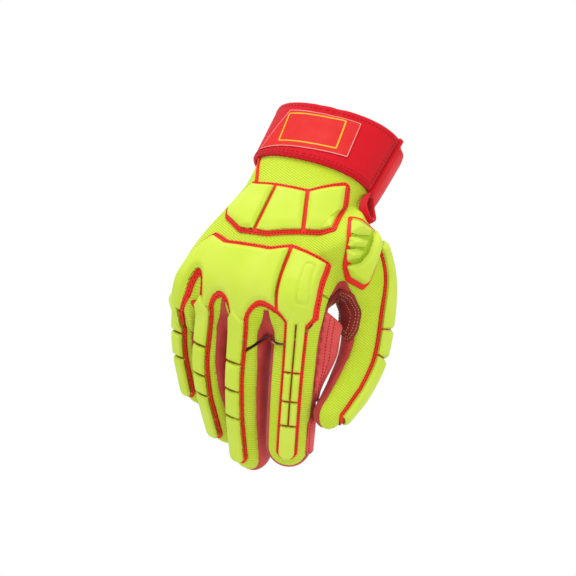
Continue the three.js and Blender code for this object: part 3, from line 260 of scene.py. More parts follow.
def thumb_place(points):
    """Place along the thumb's axis and offsets to its side and its back."""
    near = ((points[:, None] - SAMPLE_CENTRE) ** 2).sum(-1).argmin(1)
    at = THUMB_SAMPLES[near] + ((points - SAMPLE_CENTRE[near]) * SAMPLE_ALONG[near]).sum(1)
    centre, _, side, normal, radius = thumb_frame(np.clip(at, 0, THUMB_LENGTH))
    q = points - centre
    return at, (q * side).sum(1), (q * normal).sum(1), radius


def oval_share(u, v, side, back, palm, power):
    return ((np.abs(u) / side) ** power + (np.abs(v) / np.where(v > 0, back, palm)) ** power) ** (1 / power)


def finger_section(f, s):
    rows = curve(FINGER_ROWS, s / f.length)
    return rows[..., 0] * f.half_width, rows[..., 1] * f.half_depth, rows[..., 2] * f.half_depth


def radial(share, *lengths):
    reach = np.sqrt(sum(x * x for x in lengths))
    return reach * (1 - 1 / np.maximum(share, 1e-3))


def glove_parts(points):
    """Rough distances from the hand, the four fingers and the thumb, below 0 inside."""
    z = points[:, 2]
    left, right, back, palm = curve(HAND, -z / KNUCKLE_DROP).T
    u, v = points[:, 0] - (left + right) / 2, -points[:, 1]
    parts = [np.maximum(radial(oval_share(u, v, (right - left) / 2, back, palm, HAND_POWER), u, v),
                        0.7 * (-z - HAND_END))]
    for f in FINGERS:
        q = points - f.knuckle
        s, u, v = q @ f.along, q @ f.side, q @ f.normal
        over = np.maximum(s - f.length + f.half_width, 0) + np.minimum(s + 0.16 * f.length, 0)
        share = np.hypot(oval_share(u, v, *finger_section(f, s), FINGER_POWER), over / f.half_width)
        parts.append(radial(share, u, v, over))
    at, u, v, radius = thumb_place(points)
    end = np.maximum(at - THUMB_LENGTH, 0) + np.minimum(at, 0) / THUMB_ROOT
    share = np.sqrt((u / THUMB_SIDE) ** 2 + (v / THUMB_BACK) ** 2 + end**2) / radius
    parts.append(radial(share, u, v, np.maximum(at - THUMB_LENGTH, 0) + np.minimum(at, 0)))
    return np.array(parts)


def glove_distance(points, blend=BLEND):
    parts = glove_parts(points)
    least = parts.min(0)
    return least - blend * np.log(np.exp((least - parts) / blend).sum(0))


def glove_normal(points, step=0.8):
    out = np.empty_like(points)
    for k in range(3):
        shift = np.zeros(3)
        shift[k] = step
        out[:, k] = glove_distance(points + shift) - glove_distance(points - shift)
    return unit(out)


def land(start, direction):
    """Surface points met from outside, with the outward normals."""
    points = start.copy()
    for _ in range(32):
        points = points + direction * (0.6 * glove_distance(points))[:, None]
    return points, glove_normal(points)


# Charts: two lengths on a piece's own map to a point and a normal of the flat glove
def on_back(uv):
    start = np.column_stack([uv[:, 0], np.full(len(uv), -60.0), uv[:, 1]])
    return land(start, np.array([0.0, 1.0, 0.0]))


def on_finger(f):
    def chart(uv):
        s, across = uv.T
        side, back, _ = finger_section(f, np.minimum(s, f.length - f.half_width))
        angle = f.lean + across / ((side + back) / 2 + 3)
        out = np.cos(angle)[:, None] * f.normal + np.sin(angle)[:, None] * f.side
        return land(f.knuckle + s[:, None] * f.along + 24 * out, -out)
    return chart


def on_thumb(uv):
    s, across = uv.T
    centre, _, side, normal, radius = thumb_frame(s)
    angle = np.radians(curve(THUMB_STRIP_LINE, s / THUMB_LENGTH)[:, 0]) + across / (radius + 3)
    out = np.cos(angle)[:, None] * normal + np.sin(angle)[:, None] * side
    return land(centre + (radius + 9)[:, None] * out, -out)


def on_thumb_root(uv):
    turn = math.radians(35)
    out = np.array([math.sin(turn), -math.cos(turn), 0.0])
    across = np.array([math.cos(turn), math.sin(turn), 0.0])
    return land(uv[:, :1] * across + uv[:, 1:] * np.array([0, 0, 1.0]) + 80 * out, -out)


def on_wrist(uv):
    left, right, back, palm = curve(HAND, -uv[:, 1] / KNUCKLE_DROP).T
    side = (right - left) / 2
    u, v = oval(uv[:, 0] / WRIST_ARC_RADIUS, side, back, palm, HAND_POWER)
    depth = np.where(v > 0, back, palm)
    slope_u = np.sign(u) * np.abs(u / side) ** (HAND_POWER - 1) / side
    slope_v = np.sign(v) * np.abs(v / depth) ** (HAND_POWER - 1) / depth
    normal = unit(np.column_stack([slope_u, -slope_v, np.zeros(len(uv))]))
    return np.column_stack([(left + right) / 2 + u, -v, uv[:, 1]]), normal


# Mesh helpers
def cut(points, faces, f):
    """Cut a triangle mesh along f = 0: the points, the faces where f > 0 and the others."""
    f = np.where(np.abs(f) < 1e-7, 1e-7, f)
    up = f[faces] > 0
    count = up.sum(1)
    mixed = (count == 1) | (count == 2)
    rows, lone = faces[mixed], count[mixed] == 1
    k = np.argmax(up[mixed] == lone[:, None], axis=1)
    r = np.arange(len(rows))
    a, b, c = (rows[r, (k + i) % 3] for i in range(3))
    pairs = np.sort(np.concatenate([np.stack([a, b], 1), np.stack([a, c], 1)]), axis=1)
    edges, where = np.unique(pairs, axis=0, return_inverse=True)
    where = where.reshape(-1)
    t = f[edges[:, 0]] / (f[edges[:, 0]] - f[edges[:, 1]])
    made = points[edges[:, 0]] + t[:, None] * (points[edges[:, 1]] - points[edges[:, 0]])
    p, q = len(points) + where[:len(a)], len(points) + where[len(a):]
    single = np.stack([a, p, q], 1)
    double = np.concatenate([np.stack([p, b, c], 1), np.stack([p, c, q], 1)])
    twice = np.concatenate([lone, lone])
    plus = np.concatenate([faces[count == 3], single[lone], double[~twice]])
    minus = np.concatenate([faces[count == 0], single[~lone], double[twice]])
    return np.vstack([points, made]), plus, minus


def used(points, faces):
    keep, index = np.unique(faces, return_inverse=True)
    return points[keep], index.reshape(faces.shape)


def new_object(name, points, faces, material, slot, uv=None, smooth_shading=True):
    mesh = bpy.data.meshes.new(name)
    mesh.from_pydata((points * MM).tolist(), [], faces.tolist())
    if uv is not None:
        corners = np.empty(len(mesh.loops), dtype=np.int32)
        mesh.loops.foreach_get("vertex_index", corners)
        mesh.uv_layers.new(name="weave").data.foreach_set("uv", uv[corners].astype(np.float32).ravel())
    mesh.polygons.foreach_set("use_smooth", np.full(len(mesh.polygons), smooth_shading))
    mesh.materials.append(material)
    obj = bpy.data.objects.new(name, mesh)
    bpy.context.scene.collection.objects.link(obj)
    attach(obj, "root")
    return obj


def rounded(outline, radius, steps=5):
    """Outline with its corners rounded, where the edges are long enough."""
    outline = np.asarray(outline, float)
    out = []
    for i, p in enumerate(outline):
        before, after = outline[i - 1] - p, outline[(i + 1) % len(outline)] - p
        a = p + before * min(radius / np.linalg.norm(before), 0.45)
        b = p + after * min(radius / np.linalg.norm(after), 0.45)
        for t in np.linspace(0, 1, steps):
            out.append((1 - t) ** 2 * a + 2 * t * (1 - t) * p + t * t * b)
    return np.array(out)


def inside_distance(outline, points):
    """Distance to an outline, above 0 inside it."""
    best = np.full(len(points), 1e9)
    inside = np.zeros(len(points), bool)
    for a, b in zip(outline, np.roll(outline, -1, axis=0)):
        e = b - a
        w = points - a
        t = np.clip(w @ e / max(e @ e, 1e-12), 0, 1)
        best = np.minimum(best, ((w - t[:, None] * e) ** 2).sum(1))
        crosses = (a[1] > points[:, 1]) != (b[1] > points[:, 1])
        if crosses.any():
            x = a[0] + (points[:, 1] - a[1]) * e[0] / (e[1] if e[1] else 1e-12)
            inside ^= crosses & (points[:, 0] < x)
    return np.where(inside, 1, -1) * np.sqrt(best)


def line_side(a, b, points):
    """Distance to the left of the line from a to b."""
    e = unit(np.asarray(b, float) - np.asarray(a, float))
    w = points - np.asarray(a, float)
    return e[0] * w[:, 1] - e[1] * w[:, 0]


def lower_of(*heights, soft=0.22):
    stack = np.array(np.broadcast_arrays(*heights))
    least = stack.min(0)
    return least - soft * np.log(np.exp((least - stack) / soft).sum(0))


def grid(low, high, step):
    nx, ny = (np.maximum(np.ceil((high - low) / step), 1)).astype(int)
    x, y = np.linspace(low[0], high[0], nx + 1), np.linspace(low[1], high[1], ny + 1)
    points = np.stack(np.meshgrid(x, y), -1).reshape(-1, 2)
    i = (np.arange(ny)[:, None] * (nx + 1) + np.arange(nx)).ravel()
    j = i + nx + 1
    return points, np.concatenate([np.stack([i, i + 1, j + 1], 1), np.stack([i, j + 1, j], 1)])


def relief(name, field, box, chart, low, height, material, slot, step=0.6, replaces=()):
    """A moulded or sewn piece: the part of a chart where field > 0, raised to height, with a wall to low."""
    points, faces = grid(np.asarray(box[0], float), np.asarray(box[1], float), step)
    f = field(points)
    near = np.abs(f) < 0.3 * step
    edge = points[near]
    slope = np.column_stack([(field(edge + 0.05 * axis) - field(edge - 0.05 * axis)) / 0.1 for axis in np.eye(2)])
    points[near] -= slope * (f[near] / np.maximum((slope**2).sum(1), 0.25))[:, None]
    points, faces, _ = cut(points, faces, np.where(near, 1e-7, f))
    points, faces = used(points, faces)
    f = np.maximum(field(points), 0)
    base, normal = chart(points)
    top = pose(base + normal * height(points, f)[:, None])
    edges = np.concatenate([faces[:, [0, 1]], faces[:, [1, 2]], faces[:, [2, 0]]])
    codes = edges[:, 0].astype(np.int64) * len(points) + edges[:, 1]
    back_codes = edges[:, 1].astype(np.int64) * len(points) + edges[:, 0]
    rim = edges[~np.isin(codes, back_codes)]
    ids, where = np.unique(rim, return_inverse=True)
    where = where.reshape(rim.shape)
    foot = pose(base[ids] + normal[ids] * low)
    n, m = len(top), len(ids)
    a, b = n + where[:, 0], n + where[:, 1]
    walls = np.concatenate([np.stack([b, a, a + m], 1), np.stack([b, a + m, b + m], 1)])
    all_points = np.vstack([top, top[ids], foot])
    all_faces = np.concatenate([faces, walls])
    facing = np.cross(top[faces[:, 1]] - top[faces[:, 0]], top[faces[:, 2]] - top[faces[:, 0]])
    outward = (pose(base + normal * 3) - pose(base))[faces[:, 0]]
    if (facing * outward).sum() < 0:
        all_faces = all_faces[:, ::-1]
    uv = np.vstack([points, points[ids], points[ids]])
    obj = new_object(name, all_points, all_faces, material, slot, uv)
    if replaces:
        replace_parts(obj, *replaces)
    return obj


def outline_piece(name, outline, chart, low, height, material, slot, corner=1.2, step=0.6, replaces=()):
    shape = rounded(outline, corner) if corner else np.asarray(outline, float)
    box = (shape.min(0) - step, shape.max(0) + step)
    field = lambda p: inside_distance(shape, p)
    return relief(name, field, box, chart, low, height, material, slot, step, replaces)


# Stitches: short raised threads along a line
def stitches(name, lines, chart, height, material, slot, pitch=1.9, length=1.15, radius=0.28):
    starts, ends = [], []
    for line in lines:
        line = np.asarray(line, float)
        steps = np.linalg.norm(np.diff(line, axis=0), axis=1)
        place = np.concatenate([[0], np.cumsum(steps)])
        for s in np.arange(pitch / 2, place[-1] - length / 2, pitch):
            for bag, at in ((starts, s - length / 2), (ends, s + length / 2)):
                bag.append([np.interp(at, place, line[:, k]) for k in range(2)])
    starts, ends = np.array(starts), np.array(ends)
    base, normal = chart(np.vstack([starts, ends]))
    lift = (height(np.vstack([starts, ends])) if callable(height) else np.full(len(base), height))[:, None]
    placed = pose(base + normal * lift)
    above = unit(pose(base + normal * (lift + 1)) - placed)
    a, b = placed[:len(starts)], placed[len(starts):]
    up = unit(above[:len(starts)] + above[len(starts):])
    along = b - a
    across = unit(np.cross(along, up))
    points, faces = [], []
    ring = np.linspace(0, 2 * np.pi, 6, endpoint=False)
    profile = [(0.0, 0.25), (0.22, 0.9), (0.78, 0.9), (1.0, 0.25)]  # share of the length, share of the radius
    for t, size in profile:
        for angle in ring:
            out = math.cos(angle) * across + math.sin(angle) * up
            arc = 0.55 * radius * math.sin(math.pi * t)
            points.append(a + t * along + radius * size * out + arc * up)
    for i in range(len(profile) - 1):
        for k in range(6):
            n = (k + 1) % 6
            faces += [[6 * i + k, 6 * i + n, 6 * i + 6 + n], [6 * i + k, 6 * i + 6 + n, 6 * i + 6 + k]]
    each = np.stack(points, 1).reshape(-1, 3)
    count = len(points)
    all_faces = (np.array(faces)[None] + (np.arange(len(a)) * count)[:, None, None]).reshape(-1, 3)
    return new_object(name, each, all_faces, material, slot)


# Materials
ALBEDO = 0.78  # the studio's light adds the rest of the photographed colours


def linear(*rgb):
    """Screen colour from 0 to 255 as a shader colour."""
    return (*(ALBEDO * ((c / 255 + 0.055) / 1.055) ** 2.4 if c > 10 else c / 255 / 12.92 for c in rgb), 1.0)


class Nodes:
    """Short names for the nodes of one material."""

    def __init__(self, name, roughness, specular=0.4):
        self.material = bpy.data.materials.new(name)
        self.material.use_nodes = True
        self.tree = self.material.node_tree
        self.shader = self.tree.nodes["Principled BSDF"]
        self.shader.inputs["Roughness"].default_value = roughness
        self.shader.inputs["Specular IOR Level"].default_value = specular

    def link(self, value, socket):
        if isinstance(value, bpy.types.NodeSocket):
            self.tree.links.new(value, socket)
        else:
            socket.default_value = value

    def math(self, operation, a, b=0.0, clamp=False):
        node = self.tree.nodes.new("ShaderNodeMath")
        node.operation = operation
        node.use_clamp = clamp
        self.link(a, node.inputs[0])
        self.link(b, node.inputs[1])
        return node.outputs[0]

    def noise(self, scale, detail=3.0, roughness=0.5, where=None):
        node = self.tree.nodes.new("ShaderNodeTexNoise")
        node.inputs["Scale"].default_value = scale
        node.inputs["Detail"].default_value = detail
        node.inputs["Roughness"].default_value = roughness
        self.link(where if where is not None else self.place(), node.inputs["Vector"])
        return node.outputs["Fac"]

    def place(self):
        return self.tree.nodes.new("ShaderNodeTexCoord").outputs["Object"]

    def weave(self):
        node = self.tree.nodes.new("ShaderNodeUVMap")
        node.uv_map = "weave"
        split = self.tree.nodes.new("ShaderNodeSeparateXYZ")
        self.tree.links.new(node.outputs[0], split.inputs[0])
        return split.outputs[0], split.outputs[1]

    def wave(self, value, period, phase=0.0):
        """A wave from 0 to 1 with a period in the value's units."""
        turn = self.math("ADD", self.math("MULTIPLY", value, 2 * math.pi / period), phase)
        return self.math("ADD", self.math("MULTIPLY", self.math("SINE", turn), 0.5), 0.5)

    def mix(self, factor, a, b):
        node = self.tree.nodes.new("ShaderNodeMix")
        node.data_type = "RGBA"
        self.link(factor, node.inputs["Factor"])
        self.link(a, node.inputs[6])
        self.link(b, node.inputs[7])
        return node.outputs[2]

    def spread(self, value, low, high, to_low=0.0, to_high=1.0):
        node = self.tree.nodes.new("ShaderNodeMapRange")
        for socket, number in zip(node.inputs[1:5], (low, high, to_low, to_high)):
            socket.default_value = number
        self.link(value, node.inputs[0])
        return node.outputs[0]

    def bump(self, height, distance, strength=1.0, under=None):
        node = self.tree.nodes.new("ShaderNodeBump")
        node.inputs["Strength"].default_value = strength
        node.inputs["Distance"].default_value = distance * MM
        self.link(height, node.inputs["Height"])
        if under is not None:
            self.tree.links.new(under, node.inputs["Normal"])
        return node.outputs[0]

    def done(self, colour, normal=None, roughness=None, sheen=None):
        self.link(colour, self.shader.inputs["Base Color"])
        if normal is not None:
            self.link(normal, self.shader.inputs["Normal"])
        if roughness is not None:
            self.link(roughness, self.shader.inputs["Roughness"])
        if sheen is not None:
            self.shader.inputs["Sheen Weight"].default_value = sheen
        return self.material


def knit_material():
    n = Nodes("knit", 0.85, 0.25)
    u, v = n.weave()
    wobble = n.math("MULTIPLY", n.noise(220, 2), 0.5)
    rib = n.wave(n.math("ADD", v, wobble), 1.35)
    loop = n.wave(u, 1.0)
    height = n.math("ADD", rib, n.math("MULTIPLY", loop, 0.35))
    large = n.spread(n.noise(28, 3), 0.3, 0.7)
    lit = n.mix(large, linear(216, 242, 50), linear(228, 248, 84))
    # The rib grooves take a darker green than the rib tops: painted shade in the grooves.
    colour = n.mix(n.spread(height, 0.0, 0.7), linear(182, 214, 24), lit)
    return n.done(colour, n.bump(height, 0.24))


def leather_material(name, light, dark):
    n = Nodes(name, 0.7, 0.3)
    grain = n.noise(1500, 4, 0.6)
    patches = n.spread(n.noise(60, 4, 0.6), 0.35, 0.7)
    colour = n.mix(patches, linear(*dark), linear(*light))
    colour = n.mix(n.spread(grain, 0.42, 0.6, 0, 0.35), colour, linear(*[c * 0.8 for c in light]))
    folds = n.noise(160, 3, 0.55)
    return n.done(colour, n.bump(grain, 0.12, under=n.bump(folds, 0.5, 0.6)), sheen=0.08)


def moulded_material(name, light, shade, roughness=0.48):
    n = Nodes(name, roughness, 0.25)
    cloudy = n.spread(n.noise(45, 3), 0.3, 0.7)
    fine = n.noise(2600, 3, 0.6)
    marks = n.spread(n.noise(420, 5, 0.7), 0.62, 0.75, 0, 0.12)
    colour = n.mix(marks, n.mix(cloudy, linear(*shade), linear(*light)), linear(*[c * 0.85 for c in shade]))
    shine = n.spread(n.noise(130, 3), 0.3, 0.7, roughness - 0.05, roughness + 0.1)
    return n.done(colour, n.bump(fine, 0.05), shine)


def strap_material():
    n = Nodes("strap_weave", 0.9, 0.12)
    u, v = n.weave()
    cell = n.math("MULTIPLY", n.wave(n.math("ADD", u, v), 0.9), n.wave(n.math("SUBTRACT", u, v), 0.9))
    fuzz = n.noise(1800, 4, 0.7)
    height = n.math("ADD", cell, n.math("MULTIPLY", fuzz, 0.8))
    large = n.spread(n.noise(40, 3), 0.3, 0.7)
    colour = n.mix(large, linear(246, 14, 36), linear(255, 24, 50))
    # The weave's low places take a darker red: painted shade in the hollows.
    colour = n.mix(n.spread(height, 0.3, 1.1), linear(214, 8, 26), colour)
    return n.done(colour, n.bump(height, 0.18), sheen=0.12)


def thread_material(name, colour):
    n = Nodes(name, 0.7, 0.3)
    twist = n.mix(n.noise(900, 2), linear(*colour), linear(*[c * 0.75 for c in colour]))
    return n.done(twist, n.bump(n.noise(2500, 2), 0.05))


KNIT = knit_material()
LEATHER = leather_material("leather", (226, 80, 78), (190, 52, 48))
PATCH_LEATHER = leather_material("patch_leather", (250, 92, 92), (226, 70, 70))
# The crotch patch's leather is coloured darker than the other leather: painted shade in the thumb's crotch, on a
# real leather patch.
CROTCH_LEATHER_PAINTED_SHADE = leather_material("crotch_leather", (176, 50, 46), (136, 30, 30))
YELLOW = moulded_material("moulded_yellow", (222, 243, 84), (212, 238, 60))
# A darker yellow green for the thumb guard's floor: painted shade between the ribs and the wall.
YELLOW_PAINTED_SHADE = moulded_material("moulded_shade", (188, 222, 34), (170, 206, 20))
TRIM_RED = moulded_material("trim_red", (255, 50, 28), (248, 38, 20))
STRAP_RED = strap_material()
TAB_RED = moulded_material("tab_red", (244, 26, 38), (226, 16, 28), 0.5)
LABEL_RED = moulded_material("label_red", (236, 38, 34), (226, 26, 26), 0.6)
LABEL_EDGE = moulded_material("label_edge", (250, 190, 180), (240, 130, 120), 0.6)
LABEL_LINE = moulded_material("label_line", (255, 196, 40), (250, 176, 30), 0.5)
DARK_THREAD = thread_material("dark_red_thread", (150, 14, 14))
LIGHT_THREAD = thread_material("light_thread", (240, 190, 110))
STRAP_THREAD = thread_material("strap_thread", (176, 10, 30))


# Fabric: lofts of the flat glove, remeshed as one skin and settled on the blended form
def loft_mesh(rings):
    count = rings.shape[1]
    i = (np.arange(len(rings) - 1)[:, None] * count + np.arange(count)).ravel()
    k = (np.arange(len(rings) - 1)[:, None] * count + (np.arange(count) + 1) % count).ravel()
    quads = np.stack([i, k, k + count, i + count], 1).tolist()
    last = (len(rings) - 1) * count
    return rings.reshape(-1, 3).tolist(), quads + [list(range(count))[::-1], list(range(last, last + count))]


def flat_lofts():
    angle = np.linspace(0, 2 * np.pi, 64, endpoint=False)
    z = np.concatenate([[5.0], np.linspace(0, -HAND_END, 60)])
    left, right, back, palm = curve(HAND, -z / KNUCKLE_DROP).T[..., None]
    u, v = oval(angle, (right - left) / 2, back, palm, HAND_POWER)
    yield np.stack([(left + right) / 2 + u, -v, np.broadcast_to(z[:, None], u.shape)], -1)
    for f in FINGERS:
        s = np.concatenate([np.linspace(-0.2 * f.length, f.length - f.half_width, 40),
                            f.length - f.half_width * (1 - np.sin(np.linspace(0.1, 1.5, 12)))])
        cap = np.sqrt(np.maximum(1 - np.maximum(1 - (f.length - s) / f.half_width, 0) ** 2, 0.0004))
        side, back, palm = (x[:, None] * cap[:, None] for x in finger_section(f, s))
        u, v = oval(angle, side, back, palm, FINGER_POWER)
        yield f.knuckle + s[:, None, None] * f.along + u[..., None] * f.side + v[..., None] * f.normal
    s = np.linspace(-7.5, THUMB_LENGTH + 9.3, 70)
    centre, _, side, normal, radius = thumb_frame(s)
    end = np.maximum(s - THUMB_LENGTH, 0) / radius - np.minimum(s, 0) / (THUMB_ROOT * radius)
    cap = np.sqrt(np.maximum(1 - end**2, 0.0004)) * radius
    yield (centre[:, None] + (THUMB_SIDE * cap[:, None] * np.sin(angle))[..., None] * side[:, None]
           + (THUMB_BACK * cap[:, None] * np.cos(angle))[..., None] * normal[:, None])


def remeshed_skin(voxel):
    points, faces = [], []
    for rings in flat_lofts():
        ring_points, ring_faces = loft_mesh(rings)
        faces += [[k + len(points) for k in face] for face in ring_faces]
        points += ring_points
    mesh = bpy.data.meshes.new("skin")
    mesh.from_pydata(points, [], faces)
    mesh.validate()
    skin = bpy.data.objects.new("skin", mesh)
    bpy.context.scene.collection.objects.link(skin)
    remesh = skin.modifiers.new("remesh", "REMESH")
    remesh.mode = "VOXEL"
    remesh.voxel_size = voxel
    done = skin.evaluated_get(bpy.context.evaluated_depsgraph_get()).to_mesh()
    done.calc_loop_triangles()
    points = np.empty(len(done.vertices) * 3, np.float32)
    done.vertices.foreach_get("co", points)
    faces = np.empty(len(done.loop_triangles) * 3, np.int32)
    done.loop_triangles.foreach_get("vertices", faces)
    bpy.data.objects.remove(skin)
    return points.reshape(-1, 3).astype(float), faces.reshape(-1, 3)


def settle(points, times=7):
    for _ in range(times):
        normal = glove_normal(points)
        points = points - normal * (0.8 * glove_distance(points))[:, None]
    return points


def seam_y(x, z):
    total, weight = np.zeros(len(x)), np.zeros(len(x))
    for f in FINGERS:
        off = x - axis_x(f, z)
        near = np.exp(-((off / f.half_width) ** 2))
        drop = smooth((f.knuckle[2] - z + 14) / 40)
        rolled = f.knuckle[1] - FINGER_SEAM + math.tan(f.roll) * np.clip(off, -f.half_width, f.half_width)
        total += near * (SEAM_Y + drop * (rolled - SEAM_Y))
        weight += near
    return total / np.maximum(weight, 1e-9)


# Where the leather between two fingers starts, and its shift across
WEBS = ((-160.0, 0.0), (-129.0, -2.5), (-130.0, 0.0))


def web_side(points):
    """Distance from the leather that comes up between the fingers."""
    x, z = points[:, 0], points[:, 2]
    least = np.full(len(points), 40.0)
    for a, b, (top, shift) in zip(FINGERS, FINGERS[1:], WEBS):
        below = top - z
        off = np.abs(x - middle_x(a, b, z) - shift) - 1.4 - 4.0 * smooth(below / 18)
        least = np.minimum(least, np.where(below > 0, off, np.hypot(np.maximum(off, 0), below)))
    return least


def back_side(points):
    """Above 0 on the knit, below 0 on the leather."""
    at, u, v, radius = thumb_place(points)
    on_thumb_back = np.minimum(np.minimum(v, 25 - np.abs(u)), at + 2)
    above_seam = seam_y(points[:, 0], points[:, 2]) - points[:, 1]
    return np.maximum(np.minimum(above_seam, web_side(points)), on_thumb_back)


RIB_ACROSS = np.array([0.349, -0.223, 0.910])
RIB_ALONG = np.array([0.814, 0.553, -0.177])


def weave_places(points):
    """Places in the weave: the hand's ribs run aslant and the fingers' ribs run round them."""
    parts = glove_parts(points)
    places = np.column_stack([points @ RIB_ALONG, -points @ RIB_ACROSS])
    nearest = parts.argmin(0)
    for k, f in enumerate(FINGERS):
        q = points - f.knuckle
        s = q @ f.along
        around = np.arctan2(q @ f.side, q @ f.normal) * f.half_width
        own = (parts[1:5].argmin(0) == k) & (nearest < 5) & (s > -2)
        places[own] = np.column_stack([around, s])[own]
    return places


def fabric():
    points, faces = remeshed_skin(1.25)
    points, faces, _ = cut(points, faces, -points[:, 2])
    points, faces = used(points, faces)
    wrist = points[:, 2] > -1e-6
    points = settle(points)
    points[wrist, 2] = 0
    points, knit, leather = cut(points, faces, back_side(points))
    uv = weave_places(points)
    seam = np.exp(-((back_side(points) / 0.9) ** 2))
    sunk = pose(points - glove_normal(points) * (0.55 * seam)[:, None])
    owners = ("", "thumb_", *(f"{f.name}_" for f in FINGERS))
    panels = lambda kind: tuple(f"{owner}{kind}_panel" for owner in owners)
    nodes = {"knit_shell": (knit, KNIT, "knit", panels("back")),
             "leather_shell": (leather, LEATHER, "leather", panels("palm"))}
    for name, (side, material, slot, replaced) in nodes.items():
        keep, index = np.unique(side, return_inverse=True)
        obj = new_object(name, sunk[keep], index.reshape(side.shape), material, slot, uv[keep])
        wall = obj.modifiers.new("wall", "SOLIDIFY")
        wall.thickness = FABRIC * MM
        wall.offset = -1
        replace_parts(obj, *replaced)


fabric()


# Guards
def shares(rows, width=HAND_HALF_WIDTH, drop=KNUCKLE_DROP):
    return np.array(rows, float) * [width, -drop]


def arch(start, stop, top, steps=12):
    t = np.linspace(0, 1, steps + 1)[1:-1]
    foot = start[1] + (stop[1] - start[1]) * t
    x = (start[0] + stop[0]) / 2 + (start[0] - stop[0]) / 2 * np.cos(np.pi * t)
    return np.column_stack([x, foot + (top - foot) * np.sin(np.pi * t)])


def leg_corner(f, side, down):
    point, _ = on_finger(f)(np.array([[down, side * (f.strip_half + (2.6 if f is INDEX else TRIM))]]))
    return point[0, [0, 2]]


BASE_TOP = CLEARANCE + BASE
BLOCK_FOOT = BASE_TOP - 0.4  # blocks start inside their flange
base_height = lambda p, d: lower_of(BASE_TOP, BASE_TOP - 0.45 + 0.9 * d)


def guard_base(name, outline, chart, replaced, corner=2.0):
    outline_piece(name, outline, chart, 0.0, base_height, TRIM_RED, "trim", corner, 0.7, (replaced,))


METACARPAL = shares([(-0.6, 0.487), (-0.5, 0.498), (-0.2, 0.49), (0.26, 0.482), (0.64, 0.364), (0.7, 0.375),
                     (0.87, 0.655), (0.445, 0.72), (0, 0.783), (-0.41, 0.8), (-0.74, 0.734), (-0.826, 0.664)])
GROOVE_A = shares([(-0.185, 0.5), (-0.191, 0.762)])
GROOVE_B = shares([(0.267, 0.488), (0.44, 0.705)])
METACARPAL_HIGH = BLOCK_LOW + 3.6
guard_base("metacarpal_guard_base", METACARPAL, on_back, "metacarpal_base")


def plate_field(outline, corner, *sides):
    """Inside an outline's trim and beside each groove line, with rounded corners."""
    shape = rounded(outline, corner)

    def field(p):
        d = inside_distance(shape, p) - RIM
        for a, b, sign in sides:
            d = np.minimum(d, sign * line_side(a, b, p) - GROOVE / 2)
        return d
    return field, (shape.min(0), shape.max(0))


def guard_plate(name, outline, sides, height, replaced, corner=2.0):
    field, box = plate_field(outline, corner, *sides)
    relief(name, field, box, on_back, BLOCK_FOOT, height, YELLOW, "moulded", 0.6, (replaced,))


def bevelled(high, drop=2.1, slope=1.0, facets=()):
    """Flat top with a bevel round it and sloping facets beside chosen lines."""
    def height(p, d):
        levels = [np.full(len(p), high), high - drop + slope * d]
        for a, b, fall, rate in facets:
            levels.append(high - fall + rate * line_side(a, b, p))
        return lower_of(*levels)
    return height


# Each plate: name, node, grooves beside it, and facets as corner numbers, fall and slope
METACARPAL_PLATES = (
    ("left", "ulnar", [(*GROOVE_A, -1)], ((11, 10, 2.2, 0.3), (0, 11, 2.6, 0.22), (10, 9, 2.0, 0.28))),
    ("centre", "middle", [(*GROOVE_A, 1), (*GROOVE_B, -1)], ((9, 8, 2.4, 0.3), (8, 7, 2.4, 0.3))),
    ("right", "radial", [(*GROOVE_B, 1)], ((7, 6, 2.4, 0.3),)),
)
for name, node, grooves, facets in METACARPAL_PLATES:
    sloped = [(METACARPAL[a], METACARPAL[b], fall, rate) for a, b, fall, rate in facets]
    guard_plate(f"metacarpal_plate_{name}", METACARPAL, grooves, bevelled(METACARPAL_HIGH, facets=sloped),
                f"metacarpal_plate_{node}")

KNUCKLE_TOP = shares([(-1.14, 0.96), (-0.9, 0.857), (-0.77, 0.816), (-0.52, 0.85), (0.12, 0.831),
                      (0.385, 0.787), (0.9, 0.796), (0.91, 0.83), (0.94, 0.96), (0.93, 1.05)])
PINKY_ARCH = np.array([(-33.3, -128.5), (-32.9, -123.5), (-33.6, -120.6), (-35.6, -120.4), (-37.6, -123.5),
                       (-39.5, -128.0)])


def knuckle_outline(down):
    out = [*KNUCKLE_TOP, leg_corner(INDEX, 1, down), leg_corner(INDEX, -1, down)]
    for f, top in ((MIDDLE, 1.05), (RING, 1.05), (PINKY, None)):
        start, stop = out[-1], leg_corner(f, 1, down)
        between = PINKY_ARCH if top is None else arch(start, stop, -top * KNUCKLE_DROP)
        out += [*between, stop, leg_corner(f, -1, down)]
    return np.array(out)


KNUCKLE = knuckle_outline(15.0)
KNUCKLE_COVER = knuckle_outline(15.0 + RIM)
KNUCKLE_GROOVE = shares([(0.395, 0.787), (0.43, 1.03)])
KNUCKLE_HIGH = BLOCK_LOW + 3.8
guard_base("knuckle_guard_base", KNUCKLE, on_back, "knuckle_base", 0.8)
slot_outline = rounded([(30.8, -105.4), (34.8, -104.8), (37.6, -120.8), (32.0, -121.4)], 1.2)
knuckle_bevel = bevelled(KNUCKLE_HIGH)
index_top = lambda p, d: knuckle_bevel(p, d) - 1.7 * smooth((-p[:, 1] - 118) / 12)
slotted_top = lambda p, d: index_top(p, d) - 0.8 * np.exp(-(inside_distance(slot_outline, p) / 0.45) ** 2)
guard_plate("knuckle_plate_wide", KNUCKLE_COVER, [(*KNUCKLE_GROOVE, -1)], index_top, "knuckle_plate_main", 0.8)
guard_plate("knuckle_plate_narrow", KNUCKLE_COVER, [(*KNUCKLE_GROOVE, 1)], slotted_top, "knuckle_plate_index", 0.8)

# Finger strips: the first block starts as a point on the knuckle plate's leg
STRIP_HIGH = BLOCK_LOW + 3.2
BLOCK_GAP = 0.45  # half the room between two blocks


def block(name, outline, chart, height, corner, step=0.5):
    outline_piece(f"{name}_block", outline, chart, BLOCK_FOOT, height, YELLOW, "moulded", corner, step, (name,))


